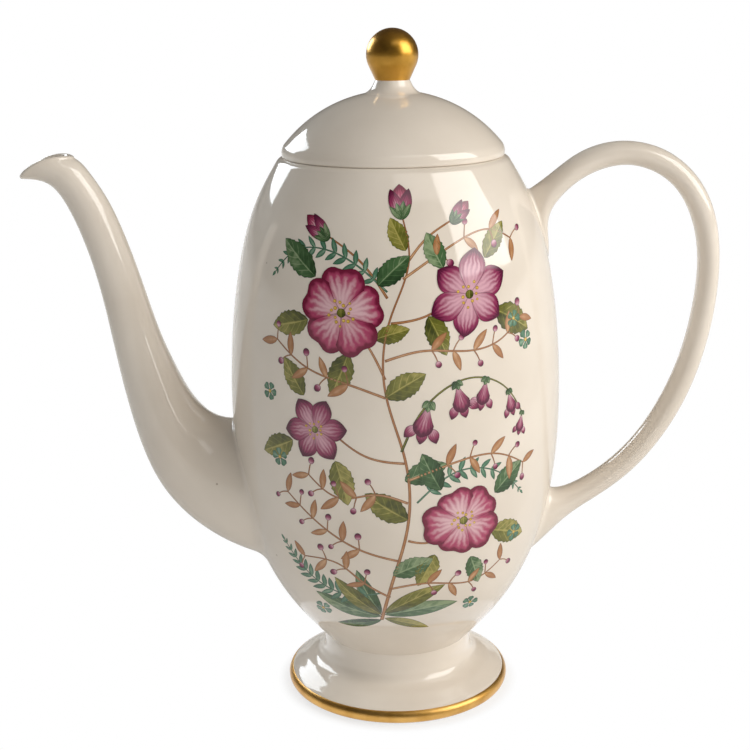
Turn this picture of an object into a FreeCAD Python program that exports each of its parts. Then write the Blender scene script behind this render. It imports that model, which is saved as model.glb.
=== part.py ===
import FreeCAD, Part
import math
import os
from FreeCAD import Vector

# Lengths in millimetres. Origin: centre of the standing ring. +Z up, spout towards -X, handle towards +X.

# Body
BODY_OUTLINE = [(27.4, 21.0), (42.4, 40.0), (55.0, 72.0), (58.6, 112.0), (55.1, 155.0), (47.2, 182.5),
                (38.8, 196.6)]
BODY_WALL = 3.2
BODY_FLOOR = 4.2
MOUTH_RADIUS = 35.4
RIM_ROUND = 0.9
STRAINER_HOLE_RADIUS = 2.75
STRAINER_PITCH = 9.0
STRAINER_HEIGHT = 77.0
BELLY_HEIGHT = 112.0

# Foot
FOOT_NECK_RADIUS = 27.0
FOOT_TOP = BODY_OUTLINE[0][1]
FOOT_SHOULDER = [(27.5, 16.8), (28.2, 14.0), (29.6, 11.8), (32.0, 10.4), (35.2, 9.1), (37.6, 7.8)]
FOOT_RIM_CENTRE = (38.4, 3.6)
FOOT_RIM_ROUND = 2.9
FOOT_RIM_ARC = (-70.0, 50.0)
FOOT_BORE_RADIUS = 20.0
STANDING_RING = (33.4, 38.0)
GILDING = 0.4
FOOT_GILDING_ARC = (-30.0, 49.0)

# Spout: pairs of points on its lower and upper edges from the root to past the mouth,
# then the half width across as a share of the half height, and how far the mouth narrows to the tip.
# The mouth is sliced along an arch that is level across the spout.
SPOUT_STATIONS = [
    ((-41.0, 48.5), (-47.0, 104.0), 0.94, 0.0),
    ((-61.0, 55.4), (-60.0, 101.9), 0.94, 0.0),
    ((-74.6, 64.4), (-67.2, 104.3), 0.95, 0.0),
    ((-86.4, 78.6), (-73.6, 111.5), 0.96, 0.0),
    ((-94.1, 98.5), (-78.4, 121.2), 0.98, 0.0),
    ((-99.4, 126.0), (-83.9, 135.4), 1.0, 0.0),
    ((-103.5, 149.0), (-89.3, 153.8), 1.0, 0.0),
    ((-108.2, 167.0), (-94.9, 171.2), 1.0, 0.0),
    ((-113.6, 180.4), (-100.3, 183.6), 1.0, 0.05),
    ((-118.6, 187.4), (-104.9, 191.0), 0.96, 0.1),
    ((-123.0, 189.4), (-108.2, 195.2), 0.86, 0.18),
    ((-129.9, 190.0), (-111.8, 198.1), 0.68, 0.26),
    ((-137.0, 190.2), (-115.0, 203.2), 0.52, 0.32),
]
SPOUT_ROOT_WALL = 3.4
SPOUT_LIP_WALL = 1.9
LIP_ARCH_CENTRE = (-114.0, 178.2)
LIP_ARCH_RADIUS = 19.9

# Handle: pairs of points on its outer and inner edges from the shoulder round to the lower root,
# then the half width across
HANDLE_STATIONS = [
    ((41.0, 178.6), (48.5, 152.5), 4.3),
    ((46.6, 183.6), (54.3, 160.5), 4.5),
    ((50.9, 186.7), (53.9, 172.0), 4.7),
    ((56.6, 191.1), (57.6, 180.6), 4.9),
    ((63.4, 196.0), (64.6, 187.0), 5.0),
    ((78.3, 200.4), (78.6, 192.1), 5.0),
    ((91.5, 198.2), (88.4, 190.6), 5.0),
    ((102.8, 190.8), (97.1, 185.0), 5.0),
    ((111.0, 178.2), (103.6, 174.6), 5.0),
    ((114.5, 159.0), (106.9, 158.6), 5.0),
    ((113.5, 140.5), (105.8, 141.5), 5.0),
    ((109.2, 120.6), (101.6, 122.8), 5.0),
    ((99.8, 98.8), (92.4, 102.2), 5.0),
    ((86.0, 81.0), (80.6, 87.0), 5.2),
    ((71.6, 70.0), (67.6, 77.2), 5.8),
    ((61.6, 62.8), (60.4, 74.2), 6.8),
    ((52.0, 53.4), (54.6, 74.6), 8.4),
    ((45.0, 47.0), (48.0, 76.0), 9.6),
]

# Lid
SEAT_GAP = 0.3
LID_SEAT = BODY_OUTLINE[-1][1] + SEAT_GAP
DOME_RADIUS = 48.5
DOME_CENTRE = 170.1
LID_WALL = 3.0
LID_EDGE_RADIUS = 38.5
LID_EDGE_ROUND = 1.6
LID_EDGE_TUCK = 0.35
FLANGE_RADIUS = 34.4
FLANGE_WALL = 3.2
FLANGE_DEPTH = 15.5
VENT_RADIUS = 1.6
VENT_OFFSET = 17.0

# Knob
STEM_FOOT_RADIUS = 8.9
STEM_NECK_RADIUS = 5.9
STEM_NECK_HEIGHT = 222.1
BALL_RADIUS = 8.9
BALL_CENTRE = 230.5

AXIS = Vector(0, 0, 1)
CENTRE = Vector(0, 0, 0)


def at(radius, height):
    """Point of a turned outline."""
    return Vector(radius, 0, height)


def spline(points, start=None, end=None):
    """Smooth edge through the points, with optional end directions."""
    curve = Part.BSplineCurve()
    if start is None:
        curve.interpolate(points)
    else:
        curve.interpolate(Points=points, InitialTangent=start, FinalTangent=end)
    return curve.toShape()


def line(first, second):
    """Straight edge."""
    return Part.LineSegment(first, second).toShape()


def arc(centre, radius, first_angle, last_angle):
    """Arc edge in the outline plane, with angles in degrees from the radial direction towards +Z."""
    points = []
    for angle in (first_angle, (first_angle + last_angle) / 2, last_angle):
        turn = math.radians(angle)
        points.append(at(centre[0] + radius * math.cos(turn), centre[1] + radius * math.sin(turn)))
    return Part.Arc(*points).toShape()


def turned(edges):
    """Solid turned about the axis from a closed outline."""
    wire = Part.Wire(Part.__sortEdges__(edges))
    return Part.Face(wire).revolve(CENTRE, AXIS, 360)


def body_curve():
    """Outer outline of the body as an edge."""
    return spline([at(*point) for point in BODY_OUTLINE])


def body_core():
    """Body without its hollow, which the spout and the handle are trimmed against."""
    base = at(0, BODY_OUTLINE[0][1])
    rim = at(0, BODY_OUTLINE[-1][1])
    edges = [body_curve(), line(base, at(*BODY_OUTLINE[0])),
             line(at(*BODY_OUTLINE[-1]), rim), line(rim, base)]
    return turned(edges)


def body_hollow():
    """Space inside the body: the outline moved in by the wall, up to the straight mouth."""
    floor = BODY_OUTLINE[0][1] + BODY_FLOOR
    top = BODY_OUTLINE[-1][1] + 1.0
    edge = body_curve()
    inside = []
    for share in (0.07, 0.2, 0.35, 0.5, 0.65, 0.8, 0.9):
        position = edge.getParameterByLength(share * edge.Length)
        along = edge.tangentAt(position)
        point = edge.valueAt(position)
        inside.append(at(point.x - BODY_WALL * along.z, point.z + BODY_WALL * along.x))
    foot = at(inside[0].x - 5.0, floor)
    neck = at(MOUTH_RADIUS, BODY_OUTLINE[-1][1] - 3.4)
    wall = spline([foot] + inside + [neck])
    edges = [wall, line(at(0, floor), foot), line(neck, at(MOUTH_RADIUS, top)),
             line(at(MOUTH_RADIUS, top), at(0, top)), line(at(0, top), at(0, floor))]
    return turned(edges)


def strainer_holes():
    """One hole with six round it, bored level through the wall behind the spout."""
    places = [(0.0, 0.0)]
    for step in range(6):
        turn = math.radians(60 * step + 30)
        places.append((STRAINER_PITCH * math.cos(turn), STRAINER_PITCH * math.sin(turn)))
    holes = []
    for across, up in places:
        start = Vector(-75, across, STRAINER_HEIGHT + up)
        holes.append(Part.makeCylinder(STRAINER_HOLE_RADIUS, 45, start, Vector(1, 0, 0)))
    return Part.makeCompound(holes)


def rim_edges(shape, radius, height):
    """Circular edges of a turned shape with this radius and height."""
    found = []
    for edge in shape.Edges:
        curve = edge.Curve
        if isinstance(curve, Part.Circle) and abs(curve.Radius - radius) < 0.01:
            if abs(curve.Center.z - height) < 0.01:
                found.append(edge)
    return found


def build_body(core):
    """Hollow body with a softened rim and strainer holes, parted at the belly into bowl and shoulder."""
    rim = BODY_OUTLINE[-1]
    shell = core.cut(body_hollow())
    edges = rim_edges(shell, rim[0], rim[1]) + rim_edges(shell, MOUTH_RADIUS, rim[1])
    shell = shell.makeFillet(RIM_ROUND, edges)
    lower_half = Part.makeCylinder(80, BELLY_HEIGHT, CENTRE, AXIS)
    bowl = shell.common(lower_half).cut(strainer_holes())
    return bowl, shell.cut(lower_half)


def on_rim(radius, angle):
    """Point at this distance from the middle of the foot's rim, at an angle in degrees."""
    turn = math.radians(angle)
    return at(FOOT_RIM_CENTRE[0] + radius * math.cos(turn), FOOT_RIM_CENTRE[1] + radius * math.sin(turn))


def foot_outline_edges():
    """Closed outline of the foot: neck, cove, round shoulder and rim, standing ring and recess."""
    low, high = FOOT_RIM_ARC
    turn = math.radians(high)
    top = at(FOOT_NECK_RADIUS, FOOT_TOP)
    rim_high = on_rim(FOOT_RIM_ROUND, high)
    rim_low = on_rim(FOOT_RIM_ROUND, low)
    shoulder = [top] + [at(*point) for point in FOOT_SHOULDER] + [rim_high]
    cove = spline(shoulder, Vector(0.06, 0, -1), Vector(math.sin(turn), 0, -math.cos(turn)))
    rim = arc(FOOT_RIM_CENTRE, FOOT_RIM_ROUND, high, low)
    ring_out = at(STANDING_RING[1], 0)
    ring_in = at(STANDING_RING[0], 0)
    bore = at(FOOT_BORE_RADIUS, FOOT_TOP)
    recess = spline([ring_in, at(32.0, 3.4), at(26.4, 7.6), at(22.0, 13.4), bore])
    return [cove, rim, line(rim_low, ring_out), line(ring_out, ring_in), recess, line(bore, top)]


def build_foot():
    """Pedestal foot and the gold band laid round its rim."""
    foot = turned(foot_outline_edges())
    low, high = FOOT_GILDING_ARC
    under = FOOT_RIM_ROUND - GILDING
    inner = arc(FOOT_RIM_CENTRE, under, low, high)
    outer = arc(FOOT_RIM_CENTRE, FOOT_RIM_ROUND, low, high)
    sides = [line(on_rim(under, angle), on_rim(FOOT_RIM_ROUND, angle)) for angle in FOOT_GILDING_ARC]
    band = turned([inner, outer] + sides)
    return foot.cut(band), band


def half_sections(first, second, half_width, narrow, inset):
    """Two half ovals between a pair of edge points, one on each side of the middle plane.

    The oval lies about the line that joins the points, inset on all sides, and it gets narrower towards the
    first point by the share narrow. All half ovals have the same knots.
    """
    first = at(*first)
    second = at(*second)
    middle = (first + second) * 0.5
    reach = (second - first) * 0.5
    half_height = reach.Length - inset
    reach.normalize()
    halves = []
    for side in (1, -1):
        points = []
        for step in range(9):
            turn = math.pi * step / 8
            across = side * (half_width - inset) * math.sin(turn) * (1 + narrow * math.cos(turn))
            points.append(middle + reach * (half_height * math.cos(turn)) + Vector(0, across, 0))
        spread = math.pi * side * (half_width - inset)
        curve = Part.BSplineCurve()
        curve.interpolate(Points=points, Parameters=[step / 8 for step in range(9)], Scale=False,
                          InitialTangent=Vector(0, spread * (1 + narrow), 0),
                          FinalTangent=Vector(0, -spread * (1 - narrow), 0))
        halves.append(curve)
    return halves


def skinned(stations):
    """Solid through pairs of half sections: one smooth face on each side and a flat face at each end."""
    middles = [pair[0].StartPoint + pair[0].EndPoint for pair in stations]
    places = [0.0]
    for before, after in zip(middles, middles[1:]):
        places.append(places[-1] + (after - before).Length)
    faces = []
    ends = [[], []]
    for side in (0, 1):
        rows = [pair[side].getPoles() for pair in stations]
        columns = []
        for column in zip(*rows):
            lengthwise = Part.BSplineCurve()
            lengthwise.interpolate(Points=list(column), Parameters=places)
            columns.append(lengthwise)
        poles = [list(row) for row in zip(*[curve.getPoles() for curve in columns])]
        across = stations[0][side]
        surface = Part.BSplineSurface()
        surface.buildFromPolesMultsKnots(poles, columns[0].getMultiplicities(), across.getMultiplicities(),
                                         columns[0].getKnots(), across.getKnots(), False, False,
                                         columns[0].Degree, across.Degree)
        faces.append(surface.toShape())
        ends[0].append(stations[0][side].toShape())
        ends[1].append(stations[-1][side].toShape())
    for pair in ends:
        faces.append(Part.Face(Part.Wire(pair)))
    shell = Part.Compound(faces)
    shell.sewShape()
    solid = Part.Solid(shell.Shells[0])
    if solid.Volume < 0:
        solid.reverse()
    return solid


def lip_cutter():
    """Block that leaves the spout's lip arched when it is cut away."""
    height = LIP_ARCH_CENTRE[1]
    block = Part.makeBox(70, 60, 40, Vector(-160, -30, height))
    drum = Part.makeCylinder(LIP_ARCH_RADIUS, 60, Vector(LIP_ARCH_CENTRE[0], -30, height), Vector(0, 1, 0))
    return block.cut(drum)


def build_spout(core):
    """Swan-neck spout, hollow from root to lip, trimmed to the body."""
    outside = []
    inside = []
    last = len(SPOUT_STATIONS) - 1
    for place, (lower, upper, share, narrow) in enumerate(SPOUT_STATIONS):
        half_height = (at(*upper) - at(*lower)).Length / 2
        share_out = min(place / (last - 1), 1.0)
        wall = SPOUT_ROOT_WALL + (SPOUT_LIP_WALL - SPOUT_ROOT_WALL) * share_out
        outside.append(half_sections(lower, upper, share * half_height, narrow, 0))
        inside.append(half_sections(lower, upper, share * half_height, narrow, wall))
    lift = at(*SPOUT_STATIONS[last][1]) - at(*SPOUT_STATIONS[last][0])
    outward = Vector(-lift.z, 0, lift.x)
    outward.normalize()
    mouth_edges = [curve.toShape() for curve in inside[last]]
    mouth = Part.Face(Part.Wire(mouth_edges)).extrude(outward * 3.0)
    hollow = skinned(outside).cut(skinned(inside)).cut(mouth)
    return hollow.cut(lip_cutter()).cut(core)


def build_handle(core):
    """Loop handle trimmed to the body."""
    sections = []
    for outer, inner, half_width in HANDLE_STATIONS:
        sections.append(half_sections(outer, inner, half_width, 0.0, 0.0))
    return skinned(sections).cut(core)


def dome_height(radius, distance):
    """Height of the dome at a distance from the axis."""
    return DOME_CENTRE + math.sqrt(radius ** 2 - distance ** 2)


def build_lid():
    """Lid dome with a flat seat for the knob, a rounded edge and a vent."""
    seat_height = dome_height(DOME_RADIUS, STEM_FOOT_RADIUS)
    edge_in = LID_EDGE_RADIUS - 0.8
    shoulder = at(edge_in, dome_height(DOME_RADIUS, edge_in))
    bulge = at(LID_EDGE_RADIUS, LID_SEAT + LID_EDGE_ROUND)
    tuck = at(LID_EDGE_RADIUS - LID_EDGE_TUCK, LID_SEAT)
    stem_seat = at(STEM_FOOT_RADIUS, seat_height)
    middle = (STEM_FOOT_RADIUS + edge_in) / 2
    dome = Part.Arc(stem_seat, at(middle, dome_height(DOME_RADIUS, middle)), shoulder).toShape()
    edge = spline([shoulder, bulge, tuck], Vector(0.62, 0, -0.78), Vector(-0.42, 0, -1))
    under_radius = FLANGE_RADIUS - FLANGE_WALL
    inner_radius = DOME_RADIUS - LID_WALL
    under = at(under_radius, LID_SEAT)
    spring = at(under_radius, dome_height(inner_radius, under_radius))
    crown = at(0, dome_height(inner_radius, 0))
    half = under_radius / 2
    ceiling = Part.Arc(spring, at(half, dome_height(inner_radius, half)), crown).toShape()
    top = at(0, seat_height)
    edges = [dome, edge, line(tuck, under), line(under, spring), ceiling]
    lid = turned(edges + [line(crown, top), line(top, stem_seat)])
    vent = Part.makeCylinder(VENT_RADIUS, 30, Vector(0, VENT_OFFSET, LID_SEAT + 5), AXIS)
    return lid.cut(vent)


def build_flange():
    """Collar under the lid with a softened lower edge."""
    low = LID_SEAT - FLANGE_DEPTH
    bore = FLANGE_RADIUS - FLANGE_WALL
    outer = Part.makeCylinder(FLANGE_RADIUS, FLANGE_DEPTH, Vector(0, 0, low), AXIS)
    inner = Part.makeCylinder(bore, FLANGE_DEPTH, Vector(0, 0, low), AXIS)
    collar = outer.cut(inner)
    edges = rim_edges(collar, FLANGE_RADIUS, low) + rim_edges(collar, bore, low)
    return collar.makeFillet(1.2, edges)


def ball_edges(ball_radius, neck_radius):
    """Closed outline of the ball: a straight taper from the neck that meets the round tangentially."""
    neck = at(neck_radius, STEM_NECK_HEIGHT)
    drop = BALL_CENTRE - STEM_NECK_HEIGHT
    reach = math.hypot(neck_radius, drop)
    turn = math.atan2(-drop, neck_radius) + math.acos(ball_radius / reach)
    join = at(ball_radius * math.cos(turn), BALL_CENTRE + ball_radius * math.sin(turn))
    top = at(0, BALL_CENTRE + ball_radius)
    half = (turn + math.pi / 2) / 2
    shoulder = at(ball_radius * math.cos(half), BALL_CENTRE + ball_radius * math.sin(half))
    base = at(0, STEM_NECK_HEIGHT)
    return [line(base, neck), line(neck, join), Part.Arc(join, shoulder, top).toShape(), line(top, base)]


def build_knob():
    """Stem with its ball, and the gold skin over the ball."""
    seat = dome_height(DOME_RADIUS, STEM_FOOT_RADIUS)
    foot = at(STEM_FOOT_RADIUS, seat)
    neck = at(STEM_NECK_RADIUS, STEM_NECK_HEIGHT)
    flare = spline([foot, at(7.3, seat + 1.7), neck], Vector(-1, 0, 0.5), Vector(-0.3, 0, 1))
    low = at(0, seat)
    high = at(0, STEM_NECK_HEIGHT)
    stem = turned([flare, line(neck, high), line(high, low), line(low, foot)])
    ball = turned(ball_edges(BALL_RADIUS - GILDING, STEM_NECK_RADIUS - GILDING))
    whole = turned(ball_edges(BALL_RADIUS, STEM_NECK_RADIUS))
    return stem.fuse(ball).removeSplitter(), whole.cut(ball)


def save(name, shape):
    """Check that a piece is one sound solid and write it."""
    solids = shape.Solids
    print(name, "solids", len(solids), "valid", shape.isValid(), "volume", round(shape.Volume, 1))
    if len(solids) != 1 or not shape.isValid():
        raise RuntimeError(name + " is not one sound solid")
    solids[0].exportStep("parts/" + name + ".step")


os.makedirs("parts", exist_ok=True)
body = body_core()
foot, foot_band = build_foot()
knob, knob_skin = build_knob()
bowl, shoulder = build_body(body)
save("body_bowl", bowl)
save("body_shoulder", shoulder)
save("pedestal_foot", foot)
save("foot_gilding", foot_band)
save("spout", build_spout(body))
save("handle", build_handle(body))
save("lid_dome", build_lid())
save("lid_flange", build_flange())
save("knob", knob)
save("knob_gilding", knob_skin)
print("hollow in millilitres", round(body_hollow().Volume / 1000))
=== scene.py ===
"""China coffee pot: smooth glazed ware, gilding and a flower print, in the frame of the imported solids."""

from __future__ import annotations

import logging
import math
from dataclasses import dataclass
from enum import Enum
from typing import Any, Callable, Sequence

import bmesh
import bpy
import numpy as np
from mathutils import Matrix, Vector

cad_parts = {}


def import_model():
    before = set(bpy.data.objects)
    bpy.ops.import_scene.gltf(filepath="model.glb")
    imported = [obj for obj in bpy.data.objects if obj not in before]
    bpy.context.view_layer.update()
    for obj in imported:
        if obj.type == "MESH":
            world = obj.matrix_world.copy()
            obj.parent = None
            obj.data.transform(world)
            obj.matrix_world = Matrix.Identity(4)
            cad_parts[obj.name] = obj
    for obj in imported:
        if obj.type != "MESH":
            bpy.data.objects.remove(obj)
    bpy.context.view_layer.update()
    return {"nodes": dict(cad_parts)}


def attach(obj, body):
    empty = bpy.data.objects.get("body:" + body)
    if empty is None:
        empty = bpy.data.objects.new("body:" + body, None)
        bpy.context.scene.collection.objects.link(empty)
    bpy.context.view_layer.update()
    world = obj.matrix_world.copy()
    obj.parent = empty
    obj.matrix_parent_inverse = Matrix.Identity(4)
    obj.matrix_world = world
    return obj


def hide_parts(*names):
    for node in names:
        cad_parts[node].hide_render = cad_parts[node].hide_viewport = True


LOG = logging.getLogger("coffee_pot")
MM = 0.001
WELD = 2e-6
HALVINGS = 40
Pair = tuple[float, float]
Colour = tuple[float, float, float]


def tone(code: str) -> Colour:
    """Gives the linear colour of a screen colour written as six hexadecimal digits.

    Args:
        code: the screen colour, such as "e9dcc8".

    Returns:
        Red, green and blue as linear shares of one.
    """
    parts = [int(code[at:at + 2], 16) / 255 for at in (0, 2, 4)]
    red, green, blue = (c / 12.92 if c <= 0.04045 else ((c + 0.055) / 1.055) ** 2.4 for c in parts)
    return red, green, blue


def solid(colour: Colour) -> tuple[float, float, float, float]:
    """Gives a colour as the four numbers that a colour socket takes."""
    return (*colour, 1.0)


class SmoothPath:
    """Natural cubic spline through rows of numbers."""

    def __init__(self, rows: Sequence[Sequence[float]], places: Sequence[float] | None = None) -> None:
        """Works out the spline.

        Args:
            rows: the points to pass through, each with any count of numbers.
            places: the place of each row along the path; the distance along the rows if left out.
        """
        self.rows = np.asarray(rows, float)
        if places is None:
            steps = np.linalg.norm(np.diff(self.rows, axis=0), axis=1)
            places = np.concatenate([[0.0], np.cumsum(steps)])
        self.places = np.asarray(places, float)
        count = len(self.rows)
        gaps = np.diff(self.places)
        matrix = np.eye(count)
        right = np.zeros_like(self.rows)
        for i in range(1, count - 1):
            matrix[i, i - 1:i + 2] = gaps[i - 1], 2 * (gaps[i - 1] + gaps[i]), gaps[i]
            rise = (self.rows[i + 1] - self.rows[i]) / gaps[i]
            right[i] = 6 * (rise - (self.rows[i] - self.rows[i - 1]) / gaps[i - 1])
        self.bends = np.linalg.solve(matrix, right)

    def at(self, where: np.ndarray | float) -> np.ndarray:
        """Reads the path.

        Args:
            where: places along the path.

        Returns:
            One row of numbers for each place.
        """
        where = np.clip(np.atleast_1d(np.asarray(where, float)), self.places[0], self.places[-1])
        i = np.clip(np.searchsorted(self.places, where) - 1, 0, len(self.places) - 2)
        gap = (self.places[i + 1] - self.places[i])[:, None]
        after = (where - self.places[i])[:, None]
        before = gap - after
        low, high = self.bends[i], self.bends[i + 1]
        ends = self.rows[i] / gap - low * gap / 6, self.rows[i + 1] / gap - high * gap / 6
        return (low * before**3 + high * after**3) / (6 * gap) + ends[0] * before + ends[1] * after

    def even(self, count: int) -> np.ndarray:
        """Gives that many rows at even places along the path."""
        return self.at(np.linspace(self.places[0], self.places[-1], count))

    def heading(self, where: np.ndarray) -> np.ndarray:
        """Gives the unit direction of travel at places along the path.

        Args:
            where: the places.

        Returns:
            One row of numbers for each place.
        """
        step = (self.places[-1] - self.places[0]) * 1e-4
        way = self.at(where + step) - self.at(where - step)
        return way / np.linalg.norm(way, axis=1, keepdims=True)


def arc(centre: Pair, radius: float, start: float, end: float, count: int) -> list[Pair]:
    """Gives points on an arc.

    Args:
        centre: the arc's centre.
        radius: its radius.
        start: the first angle, in degrees from the outward axis.
        end: the last angle.
        count: how many points.

    Returns:
        The points in order.
    """
    turns = np.radians(np.linspace(start, end, count))
    return [(centre[0] + radius * math.cos(a), centre[1] + radius * math.sin(a)) for a in turns]


def unit(rows: np.ndarray) -> np.ndarray:
    """Gives rows of vectors at length one."""
    return rows / np.maximum(np.linalg.norm(rows, axis=-1, keepdims=True), 1e-12)


class Value:
    """One output of a node that takes part in sums, so that a formula reads as a formula."""

    def __init__(self, graph: "Graph", socket: bpy.types.NodeSocket) -> None:
        """Wraps an output socket of a graph's node."""
        self.graph = graph
        self.socket = socket

    def __getitem__(self, name: str) -> "Value":
        """Gives another output of the same node."""
        return Value(self.graph, self.socket.node.outputs[name])

    def __add__(self, other: "Value | float") -> "Value":
        """Adds."""
        return self.graph.sum("ADD", self, other)

    def __radd__(self, other: float) -> "Value":
        """Adds to a number."""
        return self.graph.sum("ADD", other, self)

    def __sub__(self, other: "Value | float") -> "Value":
        """Subtracts."""
        return self.graph.sum("SUBTRACT", self, other)

    def __rsub__(self, other: float) -> "Value":
        """Subtracts from a number."""
        return self.graph.sum("SUBTRACT", other, self)

    def __mul__(self, other: "Value | float") -> "Value":
        """Multiplies."""
        return self.graph.sum("MULTIPLY", self, other)

    def __rmul__(self, other: float) -> "Value":
        """Multiplies a number."""
        return self.graph.sum("MULTIPLY", other, self)

    def __truediv__(self, other: "Value | float") -> "Value":
        """Divides."""
        return self.graph.sum("DIVIDE", self, other)

    def __rtruediv__(self, other: float) -> "Value":
        """Divides a number."""
        return self.graph.sum("DIVIDE", other, self)

    def __abs__(self) -> "Value":
        """Drops the sign."""
        return self.graph.sum("ABSOLUTE", self)


class Graph:
    """Node tree, of a material or a shape, that formulas are written into."""

    def __init__(self, tree: bpy.types.NodeTree) -> None:
        """Wraps a node tree."""
        self.tree = tree

    def add(self, kind: str, settings: dict[str, Any] | None = None,
            sockets: dict[str | int, Any] | None = None, output: str | int = 0) -> Value:
        """Adds one node.

        Args:
            kind: the node's type.
            settings: its settings, which are set first.
            sockets: numbers, colours or links for its inputs, by name or number.
            output: the output to give back.

        Returns:
            The named output.
        """
        node = self.tree.nodes.new(kind)
        for name, value in (settings or {}).items():
            setattr(node, name, value)
        for name, value in (sockets or {}).items():
            if isinstance(value, Value):
                self.tree.links.new(value.socket, node.inputs[name])
            elif value is not None:
                node.inputs[name].default_value = value
        return Value(self, node.outputs[output])

    def sum(self, operation: str, first: Value | float, second: Value | float | None = None) -> Value:
        """Adds one Math node."""
        return self.add("ShaderNodeMath", {"operation": operation}, {0: first, 1: second})

    def smooth(self, low: float, high: float, value: Value) -> Value:
        """Adds an easy rise between two limits.

        Args:
            low: where the result is 0.
            high: where the result is 1, which may be the smaller.
            value: the number read.

        Returns:
            A number from 0 to 1.
        """
        flipped = high < low
        limits = (high, low) if flipped else (low, high)
        ends = {1: limits[0], 2: limits[1], 3: 1.0 if flipped else 0.0, 4: 0.0 if flipped else 1.0}
        return self.add("ShaderNodeMapRange", {"interpolation_type": "SMOOTHSTEP"}, {0: value, **ends})

    def mix(self, share: Value | float, first: Value | Colour, second: Value | Colour) -> Value:
        """Mixes two colours.

        Args:
            share: how much of the second.
            first: a colour or a link.
            second: a colour or a link.

        Returns:
            The mixed colour.
        """
        pair = [c if isinstance(c, Value) else solid(c) for c in (first, second)]
        return self.add("ShaderNodeMix", {"data_type": "RGBA"}, {0: share, 6: pair[0], 7: pair[1]}, 2)

    def where(self) -> Value:
        """Reads the object's own coordinates."""
        return self.add("ShaderNodeTexCoord", None, None, "Object")

    def split(self, vector: Value) -> Value:
        """Takes a vector apart; its parts are read by letter."""
        return self.add("ShaderNodeSeparateXYZ", None, {0: vector})

    def noise(self, scale: float, detail: float, vector: Value | None = None) -> Value:
        """Adds a soft noise, on the object's own coordinates unless a vector is given."""
        where = vector or self.where()
        return self.add("ShaderNodeTexNoise", None, {"Vector": where, "Scale": scale, "Detail": detail})

    def attribute(self, name: str) -> Value:
        """Reads a named number from the mesh."""
        return self.add("ShaderNodeAttribute", {"attribute_name": name}, None, "Fac")


class ShapeTree(Graph):
    """Geometry Nodes tree with named inputs that ends in real geometry with a material."""

    def __init__(self, name: str, inputs: dict[str, str]) -> None:
        """Starts a tree.

        Args:
            name: the tree's name.
            inputs: socket types by input name, beside the geometry and the material.
        """
        super().__init__(bpy.data.node_groups.new(name, "GeometryNodeTree"))
        face = self.tree.interface
        kinds = {"Geometry": "NodeSocketGeometry", **inputs, "Material": "NodeSocketMaterial"}
        for label, kind in kinds.items():
            face.new_socket(name=label, in_out="INPUT", socket_type=kind)
        face.new_socket(name="Geometry", in_out="OUTPUT", socket_type="NodeSocketGeometry")
        self.given = self.tree.nodes.new("NodeGroupInput")

    def input(self, name: str) -> Value:
        """Gives one of the tree's inputs."""
        return Value(self, self.given.outputs[name])

    def other(self, name: str) -> Value:
        """Gives the geometry of the object in one of the inputs."""
        return self.add("GeometryNodeObjectInfo", None, {"Object": self.input(name)}, "Geometry")

    def around(self, radius: Value, turn: Value, height: Value) -> Value:
        """Gives the point at a radius, a turn about Z and a height."""
        return self.add("ShaderNodeCombineXYZ", None, {
            "X": radius * self.sum("COSINE", turn), "Y": radius * self.sum("SINE", turn), "Z": height,
        })

    def close(self, geometry: Value) -> None:
        """Ends the tree with realised geometry in the given material.

        Args:
            geometry: what the tree has made.
        """
        real = self.add("GeometryNodeRealizeInstances", None, {"Geometry": geometry})
        painted = self.add(
            "GeometryNodeSetMaterial", None, {"Geometry": real, "Material": self.input("Material")}
        )
        end = self.tree.nodes.new("NodeGroupOutput")
        self.tree.links.new(painted.socket, end.inputs[0])

    def shape(self, obj: bpy.types.Object, values: dict[str, Any]) -> bpy.types.Object:
        """Runs the tree on an object and leaves the result as its plain mesh.

        Args:
            obj: the object that holds the starting mesh.
            values: the tree's inputs by name.

        Returns:
            The same object.
        """
        modifier = obj.modifiers.new("shape", "NODES")
        modifier.node_group = self.tree
        for item in self.tree.interface.items_tree:
            if item.in_out == "INPUT" and item.name in values:
                modifier[item.identifier] = values[item.name]
        view = bpy.context.evaluated_depsgraph_get()
        made = bpy.data.meshes.new_from_object(
            obj.evaluated_get(view), preserve_all_data_layers=True, depsgraph=view
        )
        obj.modifiers.remove(modifier)
        old = obj.data
        obj.data = made
        bpy.data.meshes.remove(old)
        made.name = obj.name
        return obj


class LatheTree(ShapeTree):
    """Turns a profile, given as a row of points in the XZ plane, about the Z axis."""

    def __init__(self) -> None:
        """Builds the tree: a grid whose columns are the profile at even turns."""
        super().__init__("turn_on_the_wheel", {"Segments": "NodeSocketInt"})
        profile = self.input("Geometry")
        segments = self.input("Segments")
        count = self.add("GeometryNodeAttributeDomainSize", None, {0: profile}, "Point Count")
        grid = self.add(
            "GeometryNodeMeshGrid", None, {"Vertices X": segments + 1.0, "Vertices Y": count}, "Mesh"
        )
        index = self.add("GeometryNodeInputIndex")
        column = self.sum("FLOOR", (index + 0.5) / count)
        place = self.add(
            "GeometryNodeSampleIndex",
            {"data_type": "FLOAT_VECTOR", "domain": "POINT"},
            {"Geometry": profile, "Value": self.add("GeometryNodeInputPosition"),
             "Index": index - column * count},
        )
        parts = self.split(place)
        where = self.around(parts["X"], column * (2 * math.pi) / segments, parts["Z"])
        moved = self.add("GeometryNodeSetPosition", None, {"Geometry": grid, "Position": where})
        welded = self.add("GeometryNodeMergeByDistance", None, {"Geometry": moved, "Distance": WELD})
        self.close(self.add("GeometryNodeSetShadeSmooth", None, {"Geometry": welded}))


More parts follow.
